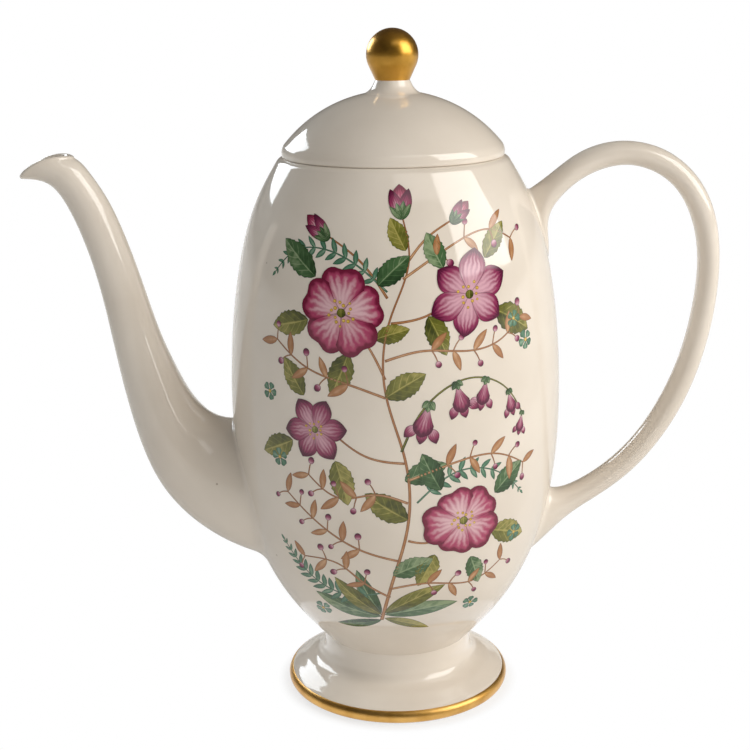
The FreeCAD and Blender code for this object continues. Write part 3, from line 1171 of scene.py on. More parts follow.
@dataclass(frozen=True)
class Spout:
    """Hollow swan-neck spout: sizes in millimetres, places along it from 0 to 1.

    A station is its lower point, upper point, width as a share of its height, and narrowing.
    """

    stations: tuple[tuple[Pair, Pair, float, float], ...] = (
        ((-41.0, 49.3), (-47.0, 104.0), 0.94, 0.0), ((-61.0, 56.3), (-60.0, 101.9), 0.94, 0.0),
        ((-74.2, 65.2), (-67.2, 104.3), 0.95, 0.0), ((-85.8, 79.2), (-73.6, 111.5), 0.96, 0.0),
        ((-93.5, 98.8), (-78.4, 121.2), 0.98, 0.0), ((-99.4, 126.0), (-83.9, 135.4), 1.0, 0.0),
        ((-103.5, 149.0), (-89.3, 153.8), 1.0, 0.0), ((-108.2, 167.0), (-94.9, 171.2), 1.0, 0.0),
        ((-113.6, 180.4), (-100.3, 183.6), 1.0, 0.05), ((-118.6, 187.4), (-104.9, 191.0), 0.96, 0.1),
        ((-123.0, 189.4), (-108.2, 195.2), 0.86, 0.18), ((-129.9, 190.0), (-111.8, 198.1), 0.68, 0.26),
        ((-137.0, 190.2), (-115.0, 203.2), 0.52, 0.32),
    )
    root_wall: float = 3.4
    lip_wall: float = 1.9
    thinnest: float = 0.92
    fillet: Pair = (3.0, 2.6)
    fillet_range: Pair = (0.3, 1.4)
    root_range: Pair = (0.0, 0.4)
    bore_depth: float = 0.6
    lip_range: Pair = (0.8, 1.0)
    arch: Pair = (-114.0, 178.2)
    arch_radius: float = 19.9

    def _walls(self, place: np.ndarray) -> np.ndarray:
        """Gives the wall at places along the spout, thinner towards the lip."""
        return self.root_wall + (self.lip_wall - self.root_wall) * np.minimum(place / self.thinnest, 1.0)

    def _lip(self, loft: OvalLoft, turn: np.ndarray, bore: bool) -> np.ndarray:
        """Finds where each line along the spout ends, half a wall short of the arch of the lip.

        Args:
            loft: the spout's form.
            turn: the lines' angles.
            bore: whether the lines are the bore's.

        Returns:
            The place along the spout for each line.
        """
        reach = self.arch_radius - self.lip_wall / 2

        def within(place: np.ndarray) -> np.ndarray:
            """Tells which lines are still inside the arch."""
            at = loft.point(place, turn, self._walls(place) if bore else 0.0)
            return np.hypot(at[:, 0] - self.arch[0], at[:, 2] - self.arch[1]) < reach

        return last_inside(within, len(turn), *self.lip_range)

    def _round_lip(self, outer: np.ndarray, inner: np.ndarray) -> list[np.ndarray]:
        """Gives the rings of the half round between the outside's and the bore's last rings.

        Args:
            outer: the last ring of the outside.
            inner: the first ring of the bore.

        Returns:
            The rings between them.
        """
        middle = (outer + inner) / 2
        across = (outer - inner) / 2
        away = middle - np.array([self.arch[0], 0.0, self.arch[1]])
        away[:, 1] = 0.0
        away = unit(away) * (self.lip_wall / 2)
        angles = np.radians(np.linspace(0, 180, 11)[1:-1])
        return [middle + across * math.cos(a) + away * math.sin(a) for a in angles]

    def build(self, body: PotBody, material: bpy.types.Material) -> None:
        """Lofts the spout with its fillet, arched round lip and bore.

        Args:
            body: the body that it stands on.
            material: the glaze.
        """
        loft = OvalLoft([(a, b, share * math.dist(a, b) / 2, n) for a, b, share, n in self.stations])
        turn = np.linspace(0, 2 * math.pi, 128, endpoint=False)
        root = loft.crossing(body, turn, *self.root_range)
        least, most = self.fillet_range
        size = least + (most - least) * (1 - np.cos(turn)) / 2
        reach = self.fillet[0] * size, self.fillet[1] * size
        rings, start = loft.skirt(body, turn, root, 1.0, reach, 10)
        end = self._lip(loft, turn, False)
        outside = [loft.point(start + (end - start) * q, turn) for q in np.linspace(0, 1, 150)[1:]]
        bore = loft.crossing(body, turn, *self.root_range, self.root_wall, self.bore_depth)
        near = self._lip(loft, turn, True)
        places = [near + (bore - near) * q for q in np.linspace(0, 1, 80)]
        inside = [loft.point(place, turn, self._walls(place)) for place in places]
        lip = self._round_lip(outside[-1], inside[0])
        obj = skin("spout", np.concatenate([rings, outside, lip, inside]), material, False)
        settle(obj, "pot", ("spout",))


@dataclass(frozen=True)
class LoopHandle:
    """Cast loop handle: sizes in millimetres, places along it from 0 to 1.

    A station is its outer point, inner point and half width.
    """

    stations: tuple[tuple[Pair, Pair, float], ...] = (
        ((41.0, 178.6), (48.5, 152.5), 4.3), ((46.6, 183.6), (54.3, 160.5), 4.5),
        ((50.9, 186.7), (53.9, 172.0), 4.7), ((56.6, 191.1), (57.6, 180.6), 4.9),
        ((63.4, 196.0), (64.6, 187.0), 5.0), ((78.3, 200.4), (78.6, 192.1), 5.0),
        ((91.5, 198.2), (88.4, 190.6), 5.0), ((102.8, 190.8), (97.1, 185.0), 5.0),
        ((111.0, 178.2), (103.6, 174.6), 5.0), ((114.5, 159.0), (106.9, 158.6), 5.0),
        ((113.5, 140.5), (105.8, 141.5), 5.0), ((109.2, 120.6), (101.6, 122.8), 5.0),
        ((99.8, 98.8), (92.4, 102.2), 5.0), ((86.0, 81.0), (80.6, 87.0), 5.2),
        ((71.6, 70.0), (67.6, 77.2), 5.8), ((61.6, 62.8), (60.4, 74.2), 6.8),
        ((52.0, 53.4), (54.6, 74.6), 8.4), ((45.0, 47.0), (48.0, 76.0), 9.6),
    )
    tail_fillet: Pair = (1.8, 1.3)
    tail_range: Pair = (0.0, 0.3)
    root_fillet: Pair = (2.6, 2.2)
    root_range: Pair = (1.0, 0.7)

    def build(self, body: PotBody, material: bpy.types.Material) -> None:
        """Lofts the handle with a slip fillet at each end.

        Args:
            body: the body that it stands on.
            material: the glaze.
        """
        loft = OvalLoft([(a, b, width, 0.0) for a, b, width in self.stations])
        turn = np.linspace(0, 2 * math.pi, 72, endpoint=False)
        top = loft.crossing(body, turn, *self.tail_range)
        low = loft.crossing(body, turn, *self.root_range)
        top_rings, start = loft.skirt(body, turn, top, 1.0, self.tail_fillet, 8)
        low_rings, end = loft.skirt(body, turn, low, -1.0, self.root_fillet, 8)
        middle = [loft.point(start + (end - start) * q, turn) for q in np.linspace(0, 1, 190)[1:-1]]
        obj = skin("handle", np.concatenate([top_rings, middle, low_rings[::-1]]), material, True)
        settle(obj, "pot", ("handle",))


@dataclass(frozen=True)
class Lid:
    """Domed lid with a deep collar and a gilded ball knob: sizes in millimetres.

    The stem's root and flare are radius and rise above the dome at the stem.
    """

    dome: float = 48.5
    centre: float = 170.1
    wall: float = 3.0
    edge: Pair = (33.5, 197.85)
    edge_round: float = 5.0
    edge_end: float = -11.0
    under: tuple[Pair, ...] = ((38.2, 196.7), (37.4, 196.66))
    vent: float = 1.6
    vent_at: float = 17.0
    drill: float = 12.0
    collar: float = 34.4
    bore: float = 31.2
    collar_low: float = 181.4
    collar_top: float = 197.2
    collar_round: float = 1.2
    collar_bevel: Pair = (0.3, 0.6)
    stem: float = 8.9
    stem_root: tuple[Pair, ...] = ((0.0, -1.5), (10.1, -1.0))
    flare: tuple[Pair, ...] = ((10.2, -0.32), (9.1, 0.12), (8.2, 0.75), (7.3, 1.75), (6.55, 3.0))
    neck: Pair = (5.9, 222.1)
    ball: float = 8.9
    ball_centre: float = 230.5
    gilding: float = 0.4
    gold_share: float = 0.8
    gold_inset: float = 0.2
    core_inset: Pair = (0.3, 0.02)

    def _height(self, radius: float) -> float:
        """Gives the height of the dome's outside at a radius."""
        return self.centre + math.sqrt(self.dome**2 - radius**2)

    def _ball_side(self, radius: float, neck: Pair) -> list[Pair]:
        """Gives the ball's side from its neck to its top, with a straight tangent taper.

        Args:
            radius: the ball's radius.
            neck: where the taper starts.

        Returns:
            Radius and height pairs.
        """
        span = math.hypot(neck[0], neck[1] - self.ball_centre)
        touch = math.atan2(neck[1] - self.ball_centre, neck[0]) + math.acos(min(1.0, radius / span))
        return [neck, *arc((0.0, self.ball_centre), radius, math.degrees(touch), 90, 48)]

    def _dome(self, trees: Trees, glaze: bpy.types.Material) -> None:
        """Turns the dome and bores its vent.

        Args:
            trees: the shape trees.
            glaze: the lid's glaze.
        """
        lean = bearing((self.edge[0], self.edge[1] - self.centre))
        outer = arc((0.0, self.centre), self.dome, 90, lean, 60)
        edge = arc(self.edge, self.edge_round, lean, self.edge_end, 18)[1:]
        under = SmoothPath([edge[-1], *self.under]).even(6)[1:]
        thin = self.dome - self.wall
        ceiling = arc((0.0, self.centre), thin, math.degrees(math.acos(self.bore / thin)), 90, 40)
        rows = [*outer, *edge, *map(tuple, under), (self.bore, self.under[-1][1]), *ceiling]
        dome = turned(trees, "lid_dome", rows, glaze, 224)
        spot = (0.0, self.vent_at, self._height(self.vent_at))
        pierce(trees, dome, [spot], self.vent, self.drill, 0.0, glaze)
        settle(dome, "lid", ("lid_dome",))

    def _collar(self, trees: Trees, glaze: bpy.types.Material) -> None:
        """Turns the collar, rounded below.

        Args:
            trees: the shape trees.
            glaze: the lid's glaze.
        """
        size = self.collar_round
        low = self.collar_low + size
        slant, drop = self.collar_bevel
        start = (self.collar, self.collar_top)
        rows = [start, (self.collar, low), *arc((self.collar - size, low), size, 0, -90, 7)[1:]]
        rows += arc((self.bore + size, low), size, -90, -180, 7)
        rows += [(self.bore, self.collar_top - drop), (self.bore + slant, self.collar_top), start]
        collar = turned(trees, "lid_collar", rows, glaze, 160)
        settle(collar, "lid", ("lid_flange",))

    def _knob(self, trees: Trees, glaze: bpy.types.Material, gold: bpy.types.Material) -> None:
        """Turns the stem with the ball's clay, and the ball's gold skin.

        Args:
            trees: the shape trees.
            glaze: the lid's glaze.
            gold: the ball's gilding.
        """
        foot = self._height(self.stem)
        root = [(radius, foot + rise) for radius, rise in self.stem_root]
        flare = [(radius, foot + rise) for radius, rise in self.flare]
        side = SmoothPath([*flare, self.neck]).even(26)
        inset, rise = self.core_inset
        core = self._ball_side(self.ball - self.gilding, (self.neck[0] - inset, self.neck[1] + rise))
        knob = turned(trees, "knob_stem", [*root, *map(tuple, side), *core], glaze, 128)
        settle(knob, "lid", ("knob",))
        ball = self._ball_side(self.ball, self.neck)
        inner = self.ball - self.gilding * self.gold_share
        under = self._ball_side(inner, (self.neck[0] - self.gold_inset, self.neck[1]))
        gilt = turned(trees, "knob_gold_ball", [*under[::-1], *ball], gold, 160)
        settle(gilt, "lid", ("knob_gilding",))

    def build(self, trees: Trees, glaze: bpy.types.Material, gold: bpy.types.Material) -> None:
        """Turns the dome, collar, stem and gilded ball.

        Args:
            trees: the shape trees.
            glaze: the lid's glaze.
            gold: the ball's gilding.
        """
        self._dome(trees, glaze)
        self._collar(trees, glaze)
        self._knob(trees, glaze, gold)


@dataclass(frozen=True)
class Spot:
    """Place of one motif on the flat print: millimetres, and degrees from pointing right."""

    x: float
    y: float
    heading: float
    size: float = 1.0
    squeeze: float = 1.0
    lift: float = 0.0


class Draughtsman:
    """Draws flat closed shapes and sets them out on the print."""

    # Heights of a shape's face and back against the glaze below it, in millimetres, and the depth of a
    # leaf's teeth as a share of its half width.
    FACE: float = 0.03
    BACK: float = -0.05
    TOOTH: float = 0.16

    def __init__(self, trees: Trees) -> None:
        """Keeps the shape trees and a seeded source of small differences."""
        self.trees = trees
        self.chance = np.random.default_rng(417)

    @staticmethod
    def _border(grid: np.ndarray) -> np.ndarray:
        """Gives what stands on a grid's outline, once round."""
        return np.concatenate([grid[0], grid[1:, -1], grid[-1, -2::-1], grid[-2:0:-1, 0]])

    def _edge(self, grid: np.ndarray) -> np.ndarray:
        """Gives each grid point's distance from the outline.

        Args:
            grid: rows along by columns across by two numbers.

        Returns:
            One distance for each point.
        """
        border = self._border(grid)
        after = np.roll(border, -1, axis=0)
        fine = np.concatenate([border + (after - border) * q for q in (0.0, 0.25, 0.5, 0.75)])
        flat = grid.reshape(-1, 2)
        gaps = np.linalg.norm(flat[:, None, :] - fine[None, :, :], axis=2)
        return gaps.min(axis=1)

    def shape(self, name: str, grid: np.ndarray, lift: float = 0.0) -> bpy.types.Object:
        """Makes a closed thin shape from a grid of points.

        Args:
            name: the shape's name.
            grid: rows along by columns across by two numbers, in millimetres.
            lift: extra height of its face.

        Returns:
            The shape, with its place across and along, its edge distance and its tint as attributes.
        """
        rows, columns = grid.shape[:2]
        count = rows * columns
        flat = grid.reshape(-1, 2)
        top = np.column_stack([flat, np.full(count, self.FACE + lift)])
        low = np.column_stack([flat, np.full(count, self.BACK)])
        faces = []
        for r in range(rows - 1):
            for c in range(columns - 1):
                a, b = r * columns + c, (r + 1) * columns + c
                faces.append((a, a + 1, b + 1, b))
                faces.append((count + a, count + b, count + b + 1, count + a + 1))
        border = self._border(np.arange(count).reshape(rows, columns))
        for a, b in zip(border, np.roll(border, -1)):
            faces.append((b, a, count + a, count + b))
        obj = new_object(name, np.concatenate([top, low]), [tuple(int(i) for i in f) for f in faces])
        across, along = np.meshgrid(np.linspace(-1, 1, columns), np.linspace(0, 1, rows))
        values = {"across": across.ravel(), "along": along.ravel(), "edge": self._edge(grid)}
        values["tint"] = np.full(count, self.chance.random())
        write_values(obj, {label: np.tile(numbers, 2) for label, numbers in values.items()})
        return obj

    def petal(self, length: float, spread: float, notch: float, base: float) -> np.ndarray:
        """Draws a fan-shaped petal that points up from its base.

        Args:
            length: its length.
            spread: half its opening angle in degrees.
            notch: how deep the dip in its tip is, as a share of the length.
            base: how narrow it starts, as a share of the spread.

        Returns:
            The grid.
        """
        u, v = np.meshgrid(np.linspace(-1, 1, 17), np.linspace(0.06, 1, 9))
        turn = np.radians(spread) * u * (base + (1 - base) * v**0.7)
        rim = 1 - 0.30 * np.abs(u) ** 3.2 - notch * np.exp(-((u / 0.24) ** 2))
        reach = length * v * (1 + (rim - 1) * v**2.0)
        return np.stack([reach * np.sin(turn), reach * np.cos(turn)], axis=2)

    def leaf(self, length: float, width: float, teeth: int = 0, bend: float = 0.0,
             widest: float = 0.42) -> np.ndarray:
        """Draws a pointed leaf, toothed or plain, that points up from its base.

        Args:
            length: its length.
            width: its width.
            teeth: teeth on each side.
            bend: sideways curve as a share of the length.
            widest: where it is widest.

        Returns:
            The grid.
        """
        rows = 3 * teeth + 4 if teeth else 15
        u, v = np.meshgrid(np.linspace(-1, 1, 7), np.linspace(0, 1, rows))
        power = math.log(0.5) / math.log(widest)
        half = width / 2 * np.sin(math.pi * v**power) ** 0.85 + 0.05
        if teeth:
            saw = 1 - np.mod(v * teeth, 1.0)
            half = half * (1 - self.TOOTH * np.abs(u) ** 4 * (1 - saw))
        x = u * half + bend * length * v**2
        y = length * (v + 0.04 * np.abs(u) * np.sin(math.pi * v))
        return np.stack([x, y], axis=2)

    def disc(self, radius: float) -> np.ndarray:
        """Draws a small round dot as a grid squeezed to a circle.

        Args:
            radius: its radius.

        Returns:
            The grid.
        """
        u, v = np.meshgrid(np.linspace(-1, 1, 5), np.linspace(-1, 1, 5))
        x = u * np.sqrt(1 - v * v / 2)
        y = v * np.sqrt(1 - u * u / 2)
        return np.stack([x, y], axis=2) * radius

    def ribbon(self, points: Sequence[Pair], start: float, end: float) -> np.ndarray:
        """Draws a tapering stem along a smooth path.

        Args:
            points: the path's points.
            start: its width where it starts.
            end: its width where it ends.

        Returns:
            The grid.
        """
        path = SmoothPath(points)
        count = max(8, int(path.places[-1] / 1.2))
        where = np.linspace(0, path.places[-1], count)
        middle = path.at(where)
        way = path.heading(where)
        side = np.stack([way[:, 1], -way[:, 0]], axis=1)
        width = np.linspace(start, end, count)[:, None, None] / 2
        u = np.linspace(-1, 1, 3)[None, :, None]
        return middle[:, None, :] + side[:, None, :] * u * width

    def set_out(self, name: str, motif: np.ndarray, spots: Sequence[Spot], spread: Pair,
                seed: int) -> bpy.types.Object:
        """Places a motif on each spot.

        Args:
            name: the name of the set.
            motif: the motif's grid.
            spots: its places.
            spread: small differences in turn (radians) and size.
            seed: the seed of the differences.

        Returns:
            One flat object with every copy.
        """
        pattern = self.shape(name + "_motif", motif)
        obj = new_object(name, [(s.x, s.y, s.lift) for s in spots])
        write_values(obj, {
            "turn": [math.radians(s.heading - 90) for s in spots],
            "size": [s.size for s in spots],
            "squeeze": [s.squeeze for s in spots],
            "tint": self.chance.random(len(spots)),
        })
        pattern.data.attributes.remove(pattern.data.attributes["tint"])
        self.trees.place.shape(obj, {
            "Motif": pattern, "Turn spread": spread[0], "Size spread": spread[1], "Seed": seed,
        })
        remove(pattern)
        return obj


class Ink(Enum):
    """The print's colours, each a layer of its own."""

    ROSE = "print_rose_petals"
    PLUM = "print_plum_bells"
    OLIVE = "print_olive_leaves"
    GREEN = "print_green_leaves"
    TEAL = "print_teal_ferns"
    TWIG = "print_brown_twigs"
    YELLOW = "print_yellow_stamens"


def inks() -> dict[Ink, Enamel]:
    """Gives the print's enamels: pale, middle, deep and outline colours, and how they are marked."""
    colours = {
        Ink.ROSE: ("e3bec4 ac4466 741a39 54152d", Marking.STREAKS),
        Ink.PLUM: ("d9abb8 90365a 571435 411027", Marking.STREAKS),
        Ink.OLIVE: ("aba158 6f6f2b 3c4119 323616", Marking.VEINS),
        Ink.GREEN: ("8fa17a 476740 273f24 20341f", Marking.VEINS),
        Ink.TEAL: ("96b298 4c785e 2c5340 274737", Marking.PLAIN),
        Ink.TWIG: ("d0a880 ab774d 815336 764a30", Marking.PLAIN),
        Ink.YELLOW: ("f2dd8a d5ae48 9a6f28 86601f", Marking.PLAIN),
    }
    return {ink: Enamel(*map(tone, codes.split()), marking) for ink, (codes, marking) in colours.items()}


class FlowerPrint:
    """Loose spray of roses, clematis, bellflowers, ferns and twigs laid on the body, front and back."""

    def __init__(self, trees: Trees, body: PotBody) -> None:
        """Keeps the trees and the body, and starts an empty sheet for each ink.

        Args:
            trees: the shape trees.
            body: the body that the print lies on.
        """
        self.trees = trees
        self.body = body
        self.hand = Draughtsman(trees)
        self.sheets: dict[Ink, list[bpy.types.Object]] = {ink: [] for ink in Ink}
        self.count = 0

    def _name(self, word: str) -> str:
        """Gives a fresh helper name."""
        self.count += 1
        return f"{word}_{self.count:03d}"

    def stem(self, ink: Ink, points: Sequence[Pair], start: float, end: float,
             lift: float = 0.0) -> SmoothPath:
        """Draws one stem and gives its path.

        Args:
            ink: its colour.
            points: the points of its path.
            start: its width where it starts.
            end: its width where it ends.
            lift: extra height of its face.

        Returns:
            The path.
        """
        grid = self.hand.ribbon(points, start, end)
        self.sheets[ink].append(self.hand.shape(self._name("stem"), grid, lift))
        return SmoothPath(points)

    def scatter(self, ink: Ink, motif: np.ndarray, spots: Sequence[Spot],
                spread: Pair = (0.05, 0.06)) -> None:
        """Sets out copies of one motif in one ink."""
        made = self.hand.set_out(self._name("set"), motif, spots, spread, 5 + self.count)
        self.sheets[ink].append(made)

    @staticmethod
    def _shrink(angle: float, squash: float) -> float:
        """Gives how short a petal at an angle looks on a tipped flower."""
        return math.hypot(math.cos(math.radians(angle)), squash * math.sin(math.radians(angle)))

    def rose(self, x: float, y: float, radius: float, turn: float, squash: float = 1.0) -> None:
        """Draws an open five-petalled rose with its ring of stamens.

        Args:
            x: its middle, across.
            y: its middle, up.
            radius: its radius.
            turn: its turn in degrees.
            squash: how far it is tipped, as a share of its width.
        """
        grid = self.hand.petal(radius, 43, 0.09, 0.78)
        petals = []
        for k in range(5):
            angle = turn + 72 * k
            shrink = self._shrink(angle, squash)
            petals.append(Spot(x, y, angle, shrink, 1.0 + (1 - shrink) * 0.5, 0.10 + 0.018 * (k % 3)))
        self.scatter(Ink.ROSE, grid, petals, (0.06, 0.05))
        self._eye(x, y, radius, 15, squash)

    def _eye(self, x: float, y: float, radius: float, count: int, squash: float) -> None:
        """Draws a flower's ring of stamens and its green middle.

        Args:
            x: the flower's middle, across.
            y: the flower's middle, up.
            radius: the flower's radius.
            count: how many stamens.
            squash: how far it is tipped, as a share of its width.
        """
        ring = []
        for k in range(count):
            angle = math.radians(360 * k / count)
            far = radius * (0.17 + 0.06 * (k % 3))
            at = x + far * math.cos(angle), y + squash * far * math.sin(angle)
            ring.append(Spot(*at, 0, radius / 24, 1, 0.2))
        self.scatter(Ink.YELLOW, self.hand.disc(0.85), ring, (0.0, 0.2))
        self.scatter(Ink.OLIVE, self.hand.disc(radius * 0.10), [Spot(x, y, 90, 1, 1, 0.19)], (0.0, 0.0))

    def clematis(self, x: float, y: float, radius: float, turn: float, squash: float = 1.0) -> None:
        """Draws an open flower of six pointed petals in two layers of three.

        Args:
            x: its middle, across.
            y: its middle, up.
            radius: its radius.
            turn: its turn in degrees.
            squash: how far it is tipped, as a share of its width.
        """
        grid = self.hand.leaf(radius, radius * 0.66, 0, 0.0, 0.56)
        petals = []
        for k in range(6):
            angle = turn + 60 * k
            shrink = self._shrink(angle, squash)
            petals.append(Spot(x, y, angle, shrink, 1.0, 0.10 + 0.03 * (k % 2)))
        self.scatter(Ink.PLUM, grid, petals, (0.05, 0.06))
        self._eye(x, y, radius, 11, squash)

    def frond(self, ink: Ink, points: Sequence[Pair], length: float, pairs: int) -> None:
        """Draws a fern frond: a rib with paired leaflets that shorten towards its tip.

        Args:
            ink: its colour.
            points: the rib's path.
            length: the longest leaflet.
            pairs: how many pairs.
        """
        path = self.stem(ink, points, 0.7, 0.3, 0.01)
        where = np.linspace(0.12, 0.97, pairs) * path.places[-1]
        middle = path.at(where)
        way = path.heading(where)
        grid = self.hand.leaf(length, length * 0.36, 0, 0.05, 0.4)
        spots = []
        for k, (at, ahead) in enumerate(zip(middle, way)):
            share = k / (pairs - 1)
            size = (0.62 + 0.75 * share - 1.12 * share * share) + 0.06
            heading = bearing(ahead)
            lean = 62 - 24 * share
            spots.append(Spot(at[0], at[1], heading + lean, size, 1, 0.012))
            spots.append(Spot(at[0], at[1], heading - lean, size, 1, 0.012))
        tip = path.at(path.places[-1])[0]
        spots.append(Spot(tip[0], tip[1], bearing(way[-1]), 0.4, 1, 0.012))
        self.scatter(ink, grid, spots)

    def bells(self, points: Sequence[Pair], count: int) -> None:
        """Draws an arching stalk with hanging bellflowers that grow smaller to its tip.

        Args:
            points: the stalk's path.
            count: how many flowers.
        """
        path = self.stem(Ink.OLIVE, points, 0.9, 0.4, 0.02)
        cup = self.hand.petal(10.5, 27, -0.06, 0.75)
        lobe = self.hand.leaf(5.2, 3.6, 0, 0.0, 0.4)
        cap = self.hand.leaf(3.4, 2.4, 0, 0.0, 0.35)
        cups, lobes, caps = [], [], []
        for k, place in enumerate(np.linspace(0.3, 1.0, count) * path.places[-1]):
            x, y = path.at(place)[0]
            size = 1.0 - 0.11 * k
            lean = -90 + (16 if k % 2 else -14)
            away = math.radians(lean)
            mouth = 8.2 * size
            cups.append(Spot(x, y - 0.6, lean, size, 1, 0.09))
            for turn in (-34, 0, 34):
                shift = math.radians(lean + turn * 0.55)
                lobes.append(Spot(x + mouth * math.cos(shift), y - 0.6 + mouth * math.sin(shift),
                                  lean + turn, size, 1, 0.075))
            for turn in (-40, 0, 40):
                caps.append(Spot(x - 0.6 * math.cos(away), y + 0.4, lean + turn, size, 1, 0.12))
        self.scatter(Ink.PLUM, cup, cups, (0.03, 0.03))
        self.scatter(Ink.PLUM, lobe, lobes, (0.05, 0.06))
        self.scatter(Ink.GREEN, cap, caps, (0.06, 0.08))

    def bud(self, x: float, y: float, heading: float, size: float) -> None:
        """Draws a closed bud in its green cup.

        Args:
            x: its base, across.
            y: its base, up.
            heading: where it points, in degrees.
            size: its size as a share of the full one.
        """
        heart = [Spot(x, y, heading, size, 1, 0.05)]
        self.scatter(Ink.ROSE, self.hand.leaf(12, 7.0, 0, 0.0, 0.45), heart)
        sides = [Spot(x, y, heading + t, size, 1, 0.07) for t in (-17, 17)]
        self.scatter(Ink.PLUM, self.hand.leaf(10.5, 4.0, 0, 0.02, 0.45), sides)
        cup = [Spot(x, y, heading + t, size, 1, 0.09) for t in (-34, -12, 12, 34)]
        self.scatter(Ink.GREEN, self.hand.leaf(6.0, 2.2, 0, 0.0, 0.4), cup)

    def hips(self, points: Sequence[Pair], count: int) -> None:
        """Draws a brown twig with round hips on short stalks and small leaves.

        Args:
            points: the twig's path.
            count: how many hips.
        """
        path = self.stem(Ink.TWIG, points, 0.9, 0.45, 0.02)
        spots, leaves = [], []
        for k, place in enumerate(np.linspace(0.3, 1.0, count) * path.places[-1]):
            at = path.at(place)[0]
            ahead = path.heading(np.array([place]))[0]
            heading = bearing(ahead)
            side = 1 if k % 2 else -1
            away = math.radians(heading + side * 62)
            end = (at[0] + 5.2 * math.cos(away), at[1] + 5.2 * math.sin(away))
            half = (at[0] * 0.5 + end[0] * 0.5, at[1] * 0.5 + end[1] * 0.5 + 0.5)
            self.stem(Ink.TWIG, [tuple(at), half, end], 0.5, 0.35, 0.02)
            spots.append(Spot(end[0], end[1], math.degrees(away), 1.0, 0.9, 0.06))
            leaves.append(Spot(at[0], at[1], heading - side * 55, 0.8, 1, 0.03))
        self.scatter(Ink.PLUM, self.hand.disc(1.2), spots, (0.0, 0.15))
        self.scatter(Ink.TWIG, self.hand.leaf(9.5, 3.3, 0, 0.08, 0.42), leaves, (0.12, 0.12))

    def florets(self, places: Sequence[tuple[float, float, float]]) -> None:
        """Draws small five-petalled florets with yellow eyes at places with a size.

        Args:
            places: across, up and size of each.
        """
        petals = []
        for k, (x, y, size) in enumerate(places):
            petals += [Spot(x, y, 72 * j + 25 * k, size, 1, 0.03) for j in range(5)]
        self.scatter(Ink.TEAL, self.hand.petal(4.6, 33, 0.04, 0.5), petals, (0.1, 0.08))
        eyes = [Spot(x, y, 0, size, 1, 0.08) for x, y, size in places]
        self.scatter(Ink.YELLOW, self.hand.disc(0.9), eyes, (0.0, 0.0))

    def draw(self) -> None:
        """Draws the whole spray on its flat sheets."""
        trunk = [(-6, -72), (-2, -52), (3, -30), (2, -6), (-4, 16), (-2, 40), (4, 58), (2, 72)]
        self.stem(Ink.TWIG, trunk, 1.25, 0.5)
        for branch in (
            [(-4, 20), (-9, 30), (-15, 38)], [(-2, 38), (9, 40), (18, 45)],
            [(3, -36), (10, -37), (16, -33)], [(2, -8), (-10, -6), (-21, 1)],
            [(4, 58), (10, 65), (18, 70)], [(-3, 46), (-12, 58), (-22, 65)],
        ):
            self.stem(Ink.TWIG, branch, 0.9, 0.6)
        self.rose(-18, 41, 14.8, 12)
        self.rose(22, -30, 15.0, 40, 0.84)
        self.clematis(24, 46, 14.5, 22)
        self.clematis(-28, 2, 11.8, 5, 0.9)
        self.bells([(1, -4), (10, 12), (24, 19), (38, 14), (46, 4)], 5)
        self.bud(2, 71, 96, 1.0)
        self.bud(18, 69, 48, 0.8)
        self.bud(-22, 64, 140, 0.9)
        self.hips([(0, -44), (-13, -40), (-27, -32), (-40, -22)], 6)
        self.hips([(3, -14), (18, -9), (34, -8), (47, -14)], 5)
        self.hips([(-4, 14), (-16, 18), (-30, 22), (-43, 30)], 5)
        self.hips([(-3, -56), (10, -54), (26, -56), (38, -50)], 5)
        self.hips([(2, 52), (18, 62), (32, 66), (42, 62)], 4)
        self.hips([(-4, 26), (8, 29), (22, 28), (36, 30), (45, 36)], 6)
        self.hips([(3, -22), (-8, -19), (-19, -21), (-31, -14)], 5)
        self.hips([(-3, -60), (-14, -52), (-20, -47), (-34, -46)], 4)
        self.frond(Ink.TEAL, [(-6, -58), (-18, -60), (-32, -54), (-43, -42)], 7.0, 13)
        self.frond(Ink.TEAL, [(6, -22), (20, -12), (34, -14), (46, -24)], 6.0, 11)
        self.frond(Ink.TEAL, [(-3, 48), (-20, 60), (-34, 60), (-44, 52)], 6.0, 12)
        rose_leaf = self.hand.leaf(19, 11.0, 8, 0.05, 0.42)
        self.scatter(Ink.OLIVE, rose_leaf, [
            Spot(-4, 14, 32, 0.8), Spot(-30, 38, 196, 0.85, 1, 0.02), Spot(-16, 28, 250, 0.8, 1, 0.02),
            Spot(34, 40, -28, 0.9, 1, 0.02), Spot(30, 57, 52, 0.75, 1, 0.02), Spot(10, 40, -62, 0.75),
            Spot(33, -36, -18, 0.9, 1, 0.02), Spot(12, -42, -112, 0.75), Spot(3, -28, 152, 0.85),
            Spot(-37, -3, 205, 0.8, 1, 0.02), Spot(-32, 13, 128, 0.7, 1, 0.02), Spot(-7, 33, 20, 0.6),
            Spot(-21, -8, -72, 0.8, 1, 0.02), Spot(3, 61, 118, 0.6),
        ])
        self.scatter(Ink.GREEN, rose_leaf, [
            Spot(-27, 52, 142, 0.85, 1, 0.03), Spot(-6, 50, 48, 0.7, 1, 0.02),
            Spot(14, -18, 118, 0.8, 1, 0.02), Spot(34, -22, 38, 0.8, 1, 0.03), Spot(2, -14, 24, 0.75),
            Spot(15, 55, 118, 0.7, 1, 0.03), Spot(-2, -50, 28, 0.75), Spot(25, -45, -70, 0.7, 1, 0.02),
        ])
        blade = self.hand.leaf(27, 7.5, 0, 0.12, 0.45)
        self.scatter(Ink.GREEN, blade, [
            Spot(-6, -70, 166, 0.95), Spot(-5, -69, 14, 1.0), Spot(-6, -68, 122, 0.75),
            Spot(-6, -72, 205, 0.6),
        ])
